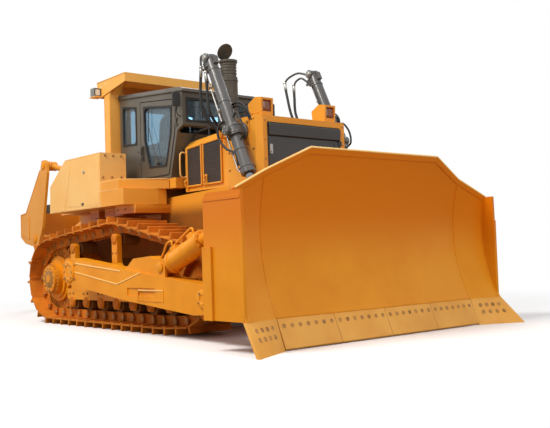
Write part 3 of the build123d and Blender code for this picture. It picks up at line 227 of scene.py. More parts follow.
def capped(layers):
    # one closed wall through every layer of points, with its first and last layers filled in
    size = len(layers[0])
    faces = quadGrid(len(layers), size, False, True)
    return np.concatenate(layers), faces + [list(range(size)),
                                            list(range((len(layers) - 1) * size, len(layers) * size))]


def bent(value, power=0.42):
    # the value's size raised to the power, with its sign kept
    return np.sign(value) * np.abs(value) ** power


def strip(path, width, height, corner, flat=None):
    # a rounded rectangle carried along a path
    return alongPath(path, roundedOutline(width, height, corner, 1), flat)


def bead(path, radius, flat=None, count=6):
    # a circle carried along a path, which keeps its corners
    return alongPath(path, circleOutline(radius, count), flat)


def grid(xs, ys, zs):
    # every x with every y and every z
    return [(x, y, z) for x in xs for y in ys for z in zs]


def hexBolt(centre, axis, radius=0.018, height=0.014):
    # a round washer under a six-sided head with its crown cut back
    washer = turned([(radius * 1.25, -0.004), (radius * 1.25, 0.003)], centre, axis, 14)
    head = turned([(radius, -0.002), (radius, height * 0.8), (radius * 0.82, height)], centre, axis, 6)
    return joined([washer, head])


def bolted(spots, axis, radius, height):
    # a hexagon bolt at every spot
    return [hexBolt(spot, axis, radius, height) for spot in spots]


def makePiece(name, shapes, body, finish, crease=32, bevel=0.0):
    # one mesh of all the shapes, its faces turned outwards, riding on its body; a blended piece has no
    # one body
    points, faces = joined(shapes)
    mesh = bpy.data.meshes.new(name)
    mesh.from_pydata(points.tolist(), [], faces)
    work = bmesh.new()
    work.from_mesh(mesh)
    bmesh.ops.remove_doubles(work, verts=work.verts, dist=1e-6)
    bmesh.ops.recalc_face_normals(work, faces=work.faces)
    work.to_mesh(mesh)
    work.free()
    mesh.polygons.foreach_set("use_smooth", np.ones(len(mesh.polygons), bool))
    mesh.set_sharp_from_angle(angle=math.radians(crease))
    mesh.materials.append(finish)
    piece = bpy.data.objects.new(name, mesh)
    bpy.context.scene.collection.objects.link(piece)
    if bevel:
        rounding = piece.modifiers.new("rounded edges", "BEVEL")
        rounding.width = bevel
        rounding.segments = 2
        rounding.limit_method = "ANGLE"
        rounding.angle_limit = math.radians(40)
    if body:
        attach(piece, body)
    return piece


# Finishes.
def tone(red, green, blue):
    # a colour as it looks on a screen, from 0 to 255, turned into the linear value that nodes take
    share = np.array([red, green, blue]) / 255
    linear = np.where(share <= 0.04045, share / 12.92, ((share + 0.055) / 1.055) ** 2.4)
    return (*linear.tolist(), 1.0)


def newGroup(name, inputs, outputs):
    # an empty shader group with its sockets, and a helper that adds and sets a node in it
    group = bpy.data.node_groups.new(name, "ShaderNodeTree")
    for label, kind, value in inputs:
        socket = group.interface.new_socket(label, in_out="INPUT", socket_type=kind)
        socket.default_value = value
    for label, kind in outputs:
        group.interface.new_socket(label, in_out="OUTPUT", socket_type=kind)
    return group, adder(group)


def adder(tree):
    # gives a function that adds a node, sets its values and links its inputs
    def add(kind, values=None, links=None, **settings):
        # one node with its settings, its inputs' values and the links into them
        node = tree.nodes.new(kind)
        for key, value in settings.items():
            setattr(node, key, value)
        for key, value in (values or {}).items():
            node.inputs[key].default_value = value
        for key, source in (links or {}).items():
            tree.links.new(source, node.inputs[key])
        return node
    return add


numberKind = "NodeSocketFloat"


def patchy(group, add, given, mask, scale, look):
    # the mask times patches of noise times the group's amount, clamped, is what the group gives out
    detail, rough, low, high = look
    place = add("ShaderNodeTexCoord")
    noise = add("ShaderNodeTexNoise", {"Detail": detail, "Roughness": rough},
                {"Vector": place.outputs["Object"], "Scale": given.outputs[scale]})
    patch = add("ShaderNodeMapRange", {"From Min": low, "From Max": high}, {"Value": noise.outputs["Fac"]})
    both = add("ShaderNodeMath", operation="MULTIPLY", links={0: mask.outputs[0], 1: patch.outputs[0]})
    scaled = add("ShaderNodeMath", operation="MULTIPLY", use_clamp=True,
                 links={0: both.outputs[0], 1: given.outputs["Amount"]})
    group.links.new(scaled.outputs[0], add("NodeGroupOutput").inputs["Mask"])
    return group


def makeEdgeWear():
    # mask of rubbed edges: one less the dot of the true normal and a rounded one, broken up by noise
    group, add = newGroup("edge wear", [("Width", numberKind, 0.012), ("Amount", numberKind, 0.5),
                                        ("Breakup", numberKind, 9.0)], [("Mask", numberKind)])
    given = add("NodeGroupInput")
    flat = add("ShaderNodeNewGeometry")
    soft = add("ShaderNodeBevel", links={"Radius": given.outputs["Width"]}, samples=4)
    match = add("ShaderNodeVectorMath", operation="DOT_PRODUCT",
                links={0: flat.outputs["Normal"], 1: soft.outputs["Normal"]})
    edge = add("ShaderNodeMapRange", {"From Min": 0.995, "From Max": 0.82}, {"Value": match.outputs["Value"]})
    return patchy(group, add, given, edge, "Breakup", (4.0, 0.65, 0.42, 0.62))


def makeDust():
    # mask of settled dust: thick on faces that look up and near the ground, thin and patchy elsewhere
    group, add = newGroup("settled dust", [("Amount", numberKind, 0.3), ("Reach", numberKind, 1.6),
                                           ("Patches", numberKind, 2.2)], [("Mask", numberKind)])
    given = add("NodeGroupInput")
    place = add("ShaderNodeTexCoord")
    flat = add("ShaderNodeNewGeometry")
    height = add("ShaderNodeSeparateXYZ", links={0: place.outputs["Object"]})
    facing = add("ShaderNodeSeparateXYZ", links={0: flat.outputs["Normal"]})
    low = add("ShaderNodeMapRange", {"From Min": 0.0, "To Min": 1.0, "To Max": 0.0},
              {"Value": height.outputs["Z"], "From Max": given.outputs["Reach"]})
    upward = add("ShaderNodeMapRange", {"From Min": 0.4, "From Max": 1.0, "To Max": 0.5},
                 {"Value": facing.outputs["Z"]})
    total = add("ShaderNodeMath", operation="ADD", links={0: low.outputs[0], 1: upward.outputs[0]})
    return patchy(group, add, given, total, "Patches", (6.0, 0.7, 0.3, 0.75))


def makeGrain():
    # two sizes of noise: a fine height for the bump, and a slow drift that varies colour and gloss
    group, add = newGroup("surface grain", [("Fine", numberKind, 220.0), ("Drift", numberKind, 1.4)],
                          [("Height", numberKind), ("Variation", numberKind)])
    given = add("NodeGroupInput")
    place = add("ShaderNodeTexCoord")
    fine = add("ShaderNodeTexNoise", {"Detail": 3.0, "Roughness": 0.6},
               {"Vector": place.outputs["Object"], "Scale": given.outputs["Fine"]})
    slow = add("ShaderNodeTexNoise", {"Detail": 5.0, "Roughness": 0.55},
               {"Vector": place.outputs["Object"], "Scale": given.outputs["Drift"]})
    end = add("NodeGroupOutput")
    group.links.new(fine.outputs["Fac"], end.inputs["Height"])
    group.links.new(slow.outputs["Fac"], end.inputs["Variation"])
    return group


edgeWear, settledDust, surfaceGrain = makeEdgeWear(), makeDust(), makeGrain()


def makeFinish(name, look):
    # base colour, drifting towards a second one, then dust, then rubbed edges, then in some looks a colour
    # blended in by height as painted shade; gloss and bump from the same masks
    material = bpy.data.materials.new(name)
    material.use_nodes = True
    tree = material.node_tree
    shader = tree.nodes["Principled BSDF"]
    add = adder(tree)
    grain = add("ShaderNodeGroup", {"Fine": look.get("fine", 220.0), "Drift": look.get("drift", 1.4)},
                node_tree=surfaceGrain)
    wear = add("ShaderNodeGroup", {"Width": look.get("edge", 0.012), "Amount": look.get("worn", 0.4),
                                   "Breakup": look.get("breakup", 9.0)}, node_tree=edgeWear)
    dust = add("ShaderNodeGroup", {"Amount": look.get("dust", 0.25), "Reach": look.get("reach", 1.6)},
               node_tree=settledDust)
    span = add("ShaderNodeMapRange", {"From Min": 0.35, "From Max": 0.68},
               {"Value": grain.outputs["Variation"]})
    base = add("ShaderNodeMix", {6: look["colour"], 7: look["second"]}, {0: span.outputs[0]},
               data_type="RGBA")
    dusty = add("ShaderNodeMix", {7: look.get("dustColour", tone(172, 140, 100))},
                {0: dust.outputs["Mask"], 6: base.outputs[2]}, data_type="RGBA")
    wearAndHighlight = add("ShaderNodeMix", {7: look.get("wornColour", tone(120, 95, 70))},
                 {0: wear.outputs["Mask"], 6: dusty.outputs[2]}, data_type="RGBA")
    shown = wearAndHighlight.outputs[2]
    # painted shade: a second colour blended in by height darkens the lower part of tanks, fenders and frame,
    # or the upper part of the blade
    if "climb" in look:
        place = add("ShaderNodeTexCoord")
        parts = add("ShaderNodeSeparateXYZ", links={0: place.outputs["Object"]})
        height = add("ShaderNodeMapRange", {"From Min": look["climb"][0], "From Max": look["climb"][1]},
                     {"Value": parts.outputs["Z"]}, interpolation_type="SMOOTHSTEP")
        raised = add("ShaderNodeMix", {7: look["climbColour"]}, {0: height.outputs[0], 6: shown},
                     data_type="RGBA")
        shown = raised.outputs[2]
    tree.links.new(shown, shader.inputs["Base Color"])
    low, high = look["rough"]
    gloss = add("ShaderNodeMapRange", {"From Min": 0.3, "From Max": 0.7, "To Min": low, "To Max": high},
                {"Value": grain.outputs["Variation"]})
    dull = add("ShaderNodeMix", {3: 0.9}, {0: dust.outputs["Mask"], 2: gloss.outputs[0]}, data_type="FLOAT")
    tree.links.new(dull.outputs[0], shader.inputs["Roughness"])
    bump = add("ShaderNodeBump", {"Strength": look.get("bump", 0.15), "Distance": look.get("deep", 0.002)},
               {"Height": grain.outputs["Height"]})
    tree.links.new(bump.outputs["Normal"], shader.inputs["Normal"])
    for label, key, usual in (("Metallic", "metal", 0.0), ("Coat Weight", "coat", 0.0),
                              ("Coat Roughness", "coatRough", 0.1), ("Specular IOR Level", "specular", 0.5)):
        shader.inputs[label].default_value = look.get(key, usual)
    return material


paintLook = {"colour": tone(233, 158, 50), "second": tone(224, 148, 42), "rough": (0.36, 0.5), "coat": 0.08,
             "specular": 0.3, "coatRough": 0.18, "worn": 0.35, "wornColour": tone(250, 206, 128),
             "dust": 0.25, "dustColour": tone(206, 148, 80), "edge": 0.010, "fine": 160.0, "bump": 0.05}
# painted light: a paler copy of the yellow paint stands for sunlit faces, and below z 1.65 it turns deep
# orange as painted shade
sunlitPaintLook = {**paintLook, "colour": tone(240, 190, 112), "second": tone(236, 180, 98),
                 "wornColour": tone(252, 224, 170), "climb": (1.70, 1.65), "climbColour": tone(204, 116, 22)}
# painted shade: the yellow paint turns deep orange below z 1.61, where the fenders' lower faces stand in
# shade
fenderPaintLook = {**paintLook, "climb": (1.67, 1.61), "climbColour": tone(204, 116, 22)}
bleachedPaintLook = {**paintLook, "colour": tone(236, 174, 84), "second": tone(230, 164, 72)}
# painted highlight: a pale paint for edges that catch the light
highlightPaintLook = {**paintLook, "colour": tone(252, 212, 136), "second": tone(246, 196, 112), "dust": 0.1}
deepPaintLook = {**paintLook, "colour": tone(238, 154, 18), "second": tone(226, 140, 16), "dust": 0.14,
                 "dustColour": tone(206, 134, 40), "drift": 2.2, "coat": 0.05, "specular": 0.28,
                 "wornColour": tone(250, 196, 96)}
# painted shade: from z 0.72 to 1.45 the blade paint blends into a darker red-orange, as the upper,
# downward-facing curve of the moldboard is in shade
bladePaintLook = {**deepPaintLook, "colour": tone(232, 152, 26), "second": tone(222, 138, 20),
                  "rough": (0.30, 0.44), "climb": (0.72, 1.45), "climbColour": tone(216, 120, 8),
                  "worn": 0.3, "drift": 1.1, "coat": 0.0, "specular": 0.22}
# painted shade: the frame is dark brown below z 1.50, where it stands in shade under the tanks, and blends
# back to the yellow paint above z 1.72; dust settles on it as on the other paints
shadedUnderPaintLook = {**paintLook, "colour": tone(150, 88, 26), "second": tone(112, 66, 22), "dust": 0.4,
                  "dustColour": tone(176, 108, 36), "climb": (1.50, 1.72), "climbColour": tone(228, 150, 44),
                  "coat": 0.0, "specular": 0.15, "rough": (0.6, 0.8)}
trackLook = {"colour": tone(220, 130, 34), "second": tone(164, 90, 24), "rough": (0.55, 0.8),
             "specular": 0.22, "worn": 0.8, "wornColour": tone(240, 176, 92), "dust": 0.3,
             "dustColour": tone(212, 126, 34), "edge": 0.010, "fine": 90.0, "bump": 0.35, "drift": 3.2,
             "breakup": 14.0}
rollerLook = {**trackLook, "colour": tone(112, 74, 38), "second": tone(76, 54, 34), "dust": 0.3,
              "specular": 0.2}
ironLook = {"colour": tone(64, 54, 46), "second": tone(48, 42, 38), "rough": (0.45, 0.7), "metal": 0.5,
            "worn": 0.4, "wornColour": tone(120, 108, 92), "dust": 0.3, "fine": 80.0, "bump": 0.3}
charcoalLook = {"colour": tone(92, 86, 74), "second": tone(80, 75, 65), "rough": (0.38, 0.52), "coat": 0.15,
                "worn": 0.3, "wornColour": tone(118, 116, 110), "dust": 0.12,
                "dustColour": tone(130, 118, 104)}
grilleLook = {**charcoalLook, "colour": tone(50, 49, 47), "second": tone(42, 41, 40), "dust": 0.08}
roofLook = {**charcoalLook, "colour": tone(104, 101, 96), "second": tone(92, 89, 85), "dust": 0.25}
sootLook = {"colour": tone(84, 78, 68), "second": tone(62, 56, 50), "rough": (0.5, 0.72), "metal": 0.35,
            "worn": 0.3, "dust": 0.25, "fine": 60.0, "bump": 0.25, "drift": 4.0}
plasticLook = {"colour": tone(44, 44, 46), "second": tone(36, 36, 38), "rough": (0.5, 0.65), "worn": 0.15,
               "wornColour": tone(90, 90, 90), "dust": 0.1, "fine": 400.0, "bump": 0.2}
lampLook = {"colour": tone(132, 130, 124), "second": tone(112, 110, 104), "rough": (0.35, 0.5), "metal": 0.2,
            "worn": 0.4, "wornColour": tone(190, 188, 182), "dust": 0.2}
edgeSteelLook = {"colour": tone(236, 172, 70), "second": tone(224, 156, 58), "rough": (0.42, 0.58),
                 "metal": 0.1, "worn": 0.5, "wornColour": tone(240, 200, 134), "dust": 0.3,
                 "dustColour": tone(208, 160, 90), "edge": 0.012, "fine": 120.0, "bump": 0.2, "drift": 2.4}
cylinderLook = {"colour": tone(86, 85, 84), "second": tone(72, 71, 70), "rough": (0.3, 0.42), "metal": 0.25,
                "coat": 0.3, "worn": 0.35, "wornColour": tone(150, 146, 140), "dust": 0.15}
chromeLook = {"colour": tone(132, 136, 142), "second": tone(114, 118, 124), "rough": (0.12, 0.22),
              "metal": 1.0, "worn": 0.1, "dust": 0.1, "bump": 0.02}
boltLook = {"colour": tone(196, 138, 62), "second": tone(140, 98, 52), "rough": (0.4, 0.6), "metal": 0.5,
            "worn": 0.7, "wornColour": tone(226, 190, 140), "dust": 0.3, "edge": 0.004, "drift": 12.0}
rubberLook = {"colour": tone(34, 34, 35), "second": tone(26, 26, 27), "rough": (0.55, 0.7), "worn": 0.1,
              "wornColour": tone(70, 70, 70), "dust": 0.18, "fine": 500.0, "bump": 0.15}
ventLook = {**plasticLook, "colour": tone(112, 92, 76), "second": tone(88, 72, 60), "dust": 0.5,
            "dustColour": tone(150, 124, 98), "specular": 0.3}
fabricLook = {"colour": tone(74, 70, 66), "second": tone(60, 57, 54), "rough": (0.8, 0.95), "worn": 0.1,
              "dust": 0.05, "fine": 700.0, "bump": 0.5, "deep": 0.001}
steelLook = {"colour": tone(176, 174, 170), "second": tone(150, 148, 144), "rough": (0.3, 0.45), "metal": 0.8,
             "worn": 0.3, "wornColour": tone(214, 212, 208), "dust": 0.15, "edge": 0.005}

lensLook = {"colour": tone(138, 84, 54), "second": tone(104, 62, 42), "rough": (0.16, 0.3), "worn": 0.0,
            "dust": 0.1, "fine": 90.0, "bump": 0.25, "coat": 0.15, "drift": 9.0}
lampRimLook = {"colour": tone(150, 62, 30), "second": tone(120, 52, 28), "rough": (0.4, 0.5), "worn": 0.2,
               "dust": 0.15}
paleLensLook = {"colour": tone(226, 224, 214), "second": tone(196, 194, 186), "rough": (0.06, 0.14),
                "worn": 0.0, "dust": 0.1, "fine": 90.0, "bump": 0.3, "coat": 0.6, "drift": 9.0}
yellowPaint = makeFinish("yellow paint", paintLook)
bleachedPaint = makeFinish("sun bleached yellow paint", bleachedPaintLook)
sunlitPaint = makeFinish("yellow paint with painted sunlight and painted shade below", sunlitPaintLook)
fenderPaint = makeFinish("fender paint with painted shade below", fenderPaintLook)
deepPaint = makeFinish("deep orange yellow paint", deepPaintLook)
bladePaint = makeFinish("blade paint with painted shade at the top", bladePaintLook)
highlightPaint = makeFinish("pale paint as painted highlight", highlightPaintLook)
shadedUnderPaint = makeFinish("underbody paint with painted shade and dust", shadedUnderPaintLook)
trackSteel = makeFinish("worn track steel", trackLook)
rollerSteel = makeFinish("dark roller steel", rollerLook)
engineIron = makeFinish("engine iron", ironLook)
charcoalPaint = makeFinish("charcoal paint", charcoalLook)
grillePaint = makeFinish("dark grille paint", grilleLook)
roofPaint = makeFinish("dusty roof paint", roofLook)
sootBlack = makeFinish("heat stained steel", sootLook)
darkPlastic = makeFinish("dark moulded plastic", plasticLook)
lampGrey = makeFinish("lamp housing grey", lampLook)
edgeSteel = makeFinish("painted edge steel", edgeSteelLook)
cylinderGrey = makeFinish("cylinder grey", cylinderLook)
chromeRod = makeFinish("chromed rod", chromeLook)
boltSteel = makeFinish("bolt steel", boltLook)
blackRubber = makeFinish("hose rubber", rubberLook)
dustyVent = makeFinish("dusty vent plastic", ventLook)
seatFabric = makeFinish("woven seat fabric", fabricLook)
warmLens = makeFinish("warm lamp lens", lensLook)
redPlastic = makeFinish("red brown lamp rim", lampRimLook)
paleLens = makeFinish("pale lamp lens", paleLensLook)
zincSteel = makeFinish("zinc plated steel", steelLook)


def makeGlass(name, colour, rough, clear):
    # a tinted pane: mostly see-through with a plain gloss, its faint dirt from the dust mask
    material = bpy.data.materials.new(name)
    material.use_nodes = True
    shader = material.node_tree.nodes["Principled BSDF"]
    add = adder(material.node_tree)
    dust = add("ShaderNodeGroup", {"Amount": 0.2}, node_tree=settledDust)
    spread = add("ShaderNodeMapRange", {"To Min": rough, "To Max": 0.5}, {"Value": dust.outputs["Mask"]})
    material.node_tree.links.new(spread.outputs[0], shader.inputs["Roughness"])
    for label, value in (("Base Color", colour), ("Transmission Weight", clear), ("IOR", 1.45)):
        shader.inputs[label].default_value = value
    return material


tintedGlass = makeGlass("tinted cab glass", tone(172, 204, 222), 0.03, 0.9)

nodeFinish = {
    yellowPaint: ("radiator_guard", "hood", "headlamps", "cab_mount", "fuel_tank",
                  "ripper_bracket", "ripper_arm", "ripper_carrier", "pitch_cylinders", "ripper_lift_barrels"),
    bleachedPaint: ("rops_post_right", "rops_post_left", "rops_roof"),
    # the tanks take the paler paint as painted sunlight, with painted shade low down
    sunlitPaint: ("tank_right", "tank_left"),
    # the fenders take yellow paint with painted shade below
    fenderPaint: ("fender_right", "fender_left"),
    deepPaint: ("push_arm_right", "push_arm_left", "tilt_brace_right", "tilt_brace_left", "final_drives",
                "track_frame_right", "track_frame_left"),
    bladePaint: ("blade",),
    # the main frame and equalizer bar take the underbody paint with painted shade
    shadedUnderPaint: ("main_frame", "equalizer_bar"),
    trackSteel: ("track_right", "track_left", "sprockets", "idlers"),
    rollerSteel: ("track_rollers", "carrier_rollers"),
    engineIron: ("engine", "radiator_core", "ripper_shank"),
    charcoalPaint: ("cab_frame", "door_right", "door_left"),
    grillePaint: ("grille_door",),
    roofPaint: ("cab_roof",),
    sootBlack: ("exhaust_stack", "rain_cap"),
    darkPlastic: ("hood_vents", "air_intake", "control_consoles"),
    seatFabric: ("operator_seat",),
    lampGrey: ("work_lamps",),
    edgeSteel: ("cutting_edges", "end_bits"),
    cylinderGrey: ("lift_barrel_right", "lift_barrel_left"),
    chromeRod: ("lift_rod_right", "lift_rod_left", "ripper_lift_rods"),
    tintedGlass: ("cab_glass", "door_glass_right", "door_glass_left"),
}
for finish, names in nodeFinish.items():
    for name in names:
        for slotPlace in nodes[name].material_slots:
            slotPlace.material = finish
print("finishes on", sum(len(names) for names in nodeFinish.values()), "nodes of", len(nodes))


# Track chains: pins, shoe bolts.
chain = {"wheels": ((-1.321, 0.680, 0.5227), (2.505, 0.620, 0.430), (-0.495, 1.133, 0.157),
                    (0.755, 1.233, 0.157), (-0.690, 0.337, 0.180), (1.980, 0.337, 0.180)),  # x, z, radius
         "shoes": 41, "halfGauge": 1.130, "linkFace": 0.1185, "pinRadius": 0.027, "plateTop": 0.082,
         "boltX": (-0.040, 0.062), "boltY": (0.075, 0.150), "boltRadius": 0.017,
         "lipLow": (0.110, -0.303, 0.048), "lipHigh": (0.179, 0.303, 0.0615)}


def pinLine(look):
    # the taut loop round the wheels: the outermost point in each direction, then equal steps along their line
    wheels = np.array(look["wheels"])
    angle = np.radians(np.arange(0, 360, 4))
    rim = np.stack([np.cos(angle), np.sin(angle)], 1)
    cloud = (wheels[:, None, :2] + wheels[:, None, 2:] * rim).reshape(-1, 2)
    bearing = np.radians(180.01 + np.arange(0, 360, 0.1))
    outermost = np.argmax(cloud @ np.stack([np.cos(bearing), np.sin(bearing)]), axis=0)
    loop = cloud[outermost[np.insert(np.diff(outermost) != 0, 0, True)]]
    loop = np.concatenate([loop, loop[:1]]) if not np.allclose(loop[0], loop[-1]) else loop
    walked = np.insert(np.cumsum(np.linalg.norm(np.diff(loop, axis=0), axis=1)), 0, 0)
    stops = np.arange(look["shoes"]) * walked[-1] / look["shoes"]
    return np.stack([np.interp(stops, walked, loop[:, 0]), np.interp(stops, walked, loop[:, 1])], 1)


def alongChain(shape, pins, halfGauge, side, atPins):
    # the shape's own axes (along the chain, across it, outwards) laid on every shoe, or on every pin
    after = np.roll(pins, -1, axis=0)
    along = (after - pins) / np.linalg.norm(after - pins, axis=1, keepdims=True)
    start = pins if atPins else (pins + after) / 2
    points, faces = shape
    flat = start[:, None] + points[None, :, :1] * along[:, None] \
        + points[None, :, 2:] * np.stack([along[:, 1], -along[:, 0]], 1)[:, None]
    across = np.broadcast_to(side * halfGauge + points[None, :, 1], flat.shape[:2])
    placed = np.stack([flat[..., 0], across, flat[..., 1]], 2)
    return joined([(row, faces) for row in placed])


chainPins = pinLine(chain)
for side in sides:
    heads = []
    for face in sides:
        heads.append(turned([(chain["pinRadius"] + 0.012, -0.004), (chain["pinRadius"] + 0.012, 0.003),
                             (chain["pinRadius"], 0.003), (chain["pinRadius"] * 0.9, 0.010)],
                            (0, face * chain["linkFace"], 0), (0, face, 0), 12))
    makePiece(f"chain_pins_{sideName[side]}",
              [alongChain(joined(heads), chainPins, chain["halfGauge"], side, True)],
              "tractor", boltSteel)
    nuts = [turned([(chain["boltRadius"], -0.002), (chain["boltRadius"], 0.010),
                    (chain["boltRadius"] * 0.8, 0.013)], (x, face * y, chain["plateTop"]), (0, 0, 1), 6)
            for x in chain["boltX"] for y in chain["boltY"] for face in sides]
    makePiece(f"shoe_bolts_{sideName[side]}",
              [alongChain(joined(nuts), chainPins, chain["halfGauge"], side, False)],
              "tractor", boltSteel)
for side in sides:
    lip = slab(chain["lipLow"], chain["lipHigh"], 0.004)
    makePiece(f"shoe_lips_{sideName[side]}", [alongChain(lip, chainPins, chain["halfGauge"], side, False)],
              "tractor", trackSteel)
print("track chains dressed")

# Wheels, hubs and track frames.
runningGear = {"rollers": np.linspace(-0.690, 1.980, 7), "rollerZ": 0.337, "guardFace": 0.1723,
               "sprocket": (-1.321, 0.680), "idler": (2.505, 0.620),
               "carriers": ((-0.495, 1.133), (0.755, 1.233)), "carrierPost": 1.370}


def boltRing(centre, axis, radius, count, size=0.014, turn=0.0):
    # hexagon heads at equal angles on a circle
    first, second = squareAxes(axis)
    angle = np.linspace(0, 2 * math.pi, count, endpoint=False) + turn
    spots = np.asarray(centre) + radius * (np.cos(angle)[:, None] * first + np.sin(angle)[:, None] * second)
    return joined(bolted(spots, axis, size, size * 0.8))


def dressRunningGear(look):
    # end caps of the rollers, hub bolts of sprocket and idler, and the bolts that hold the roller guards
    for side in sides:
        centre, out = side * chain["halfGauge"], np.array([0, side, 0])
        caps, bolts, hub = [], [], []
        for face in sides:
            y = centre + face * look["guardFace"]
            for x in look["rollers"]:
                caps.append(turned([(0.078, -0.012), (0.078, 0.010), (0.060, 0.018), (0.030, 0.018),
                                    (0.026, 0.012)], (x, y, look["rollerZ"] + 0.005), (0, face, 0), 22))
                bolts += [hexBolt((x + shift, y, 0.470), (0, face, 0), 0.016, 0.016)
                          for shift in (-0.055, 0.055)]
            bolts += [hexBolt((look["idler"][0] - 0.33 + shift, y + face * 0.010, 0.650 + rise),
                              (0, face, 0), 0.018, 0.016) for shift in (-0.05, 0.05)
                      for rise in (-0.05, 0.05)]
            caps.append(turned([(0.092, -0.010), (0.092, 0.018), (0.075, 0.028), (0.030, 0.028),
                                (0.024, 0.020)], (look["idler"][0], y + face * 0.010, look["idler"][1]),
                               (0, face, 0), 28))
            bolts.append(boltRing((look["idler"][0], y + face * 0.030, look["idler"][1]), (0, face, 0),
                                  0.060, 5, 0.009))
        for x, z in look["carriers"]:
            caps.append(turned([(0.070, -0.004), (0.070, 0.012), (0.052, 0.020), (0.016, 0.020)],
                               (x, side * look["carrierPost"], z), out, 22))
            bolts += [hexBolt((x + shift, side * look["carrierPost"], z - 0.19), out, 0.013, 0.012)
                      for shift in (-0.045, 0.045)]
        spot = np.array([look["sprocket"][0], 0, look["sprocket"][1]])
        hub.append(boltRing(spot + out * 1.330, out, 0.2225, 24, 0.012))
        hub.append(boltRing(spot + out * 1.375, out, 0.165, 12, 0.013, 0.2))
        hub.append(boltRing(spot + out * 1.170, out, 0.405, 25, 0.017))
        hub.append(turned([(0.135, -0.006), (0.135, 0.006), (0.120, 0.012), (0.066, 0.012)],
                          spot + out * 1.375, out, 36))
        hub.append(turned([(0.030, -0.002), (0.030, 0.014), (0.024, 0.018)],
                          spot + out * 1.375 + [0, 0, -0.185], out, 6))
        makePiece(f"roller_caps_{sideName[side]}", caps, "tractor", trackSteel, bevel=0.002)
        makePiece(f"track_frame_bolts_{sideName[side]}", bolts, "tractor", boltSteel)
        makePiece(f"final_drive_bolts_{sideName[side]}", hub, "tractor", boltSteel)


dressRunningGear(runningGear)
print("running gear dressed")

# Blade: curve, edges and bolts.
bladeForm = {"seamX": 4.409, "seamZ": 0.318, "topX": 4.427, "topZ": 2.085, "sag": 0.225,
             "centreHalf": 1.590, "half": 2.070, "flatHalf": 1.046, "shoulderZ": 1.609,
             "wing": math.radians(14), "edgeTip": (4.532, 0.024), "bitTip": (4.815, 2.150), "edgePlates": 4}


def faceX(z, y, look=bladeForm):
    # front of the moldboard: a circle through its foot, its deepest point and its top, shifted out on the
    # wings
    rise = look["topZ"] - look["seamZ"]
    radius = rise ** 2 / 8 / look["sag"] + look["sag"] / 2
    middleX = (look["seamX"] + look["topX"]) / 2 - look["sag"] + radius
    middleZ = (look["seamZ"] + look["topZ"]) / 2 - radius * (look["topX"] - look["seamX"]) / rise
    wing = np.maximum(0, np.abs(y) - look["centreHalf"]) * math.tan(look["wing"])
    return middleX - np.sqrt(radius ** 2 - (np.asarray(z) - middleZ) ** 2) + wing


def topZ(y, look=bladeForm):
    # height of the blade's top edge: level in the middle, then sloping to the shoulders
    fall = (look["topZ"] - look["shoulderZ"] + 0.015) / (look["half"] + 0.060 - look["flatHalf"])
    return look["topZ"] - np.maximum(0, np.abs(y) - look["flatHalf"]) * fall


def faceStrip(acrossY, low, high, proud=0.006, sink=0.010):
    # a thin strip on the moldboard: at each y its section runs from the low to the high edge, proud of
    # the face
    y = np.asarray(acrossY, float)
    share = np.linspace(0, 1, 5)[None, :]
    z = low(y)[:, None] * (1 - share) + high(y)[:, None] * share
    front = faceX(z, y[:, None]) + proud
    z, x = np.concatenate([z, z[:, ::-1]], 1), np.concatenate([front, front[:, ::-1] - proud - sink], 1)
    points = np.stack([x, np.broadcast_to(y[:, None], x.shape), z], 2)
    rows, columns = x.shape
    faces = quadGrid(rows, columns, False, True)
    faces += [list(range(columns)), list(range((rows - 1) * columns, rows * columns))]
    return points.reshape(-1, 3), faces


def roundHead(centre, axis, radius=0.024):
    # a plough bolt's round head: a low dish with a ring round it
    return turned([(radius, -0.003), (radius, 0.003), (radius * 0.82, 0.004), (radius * 0.74, 0.001),
                   (radius * 0.3, 0.002)], centre, axis, 16)


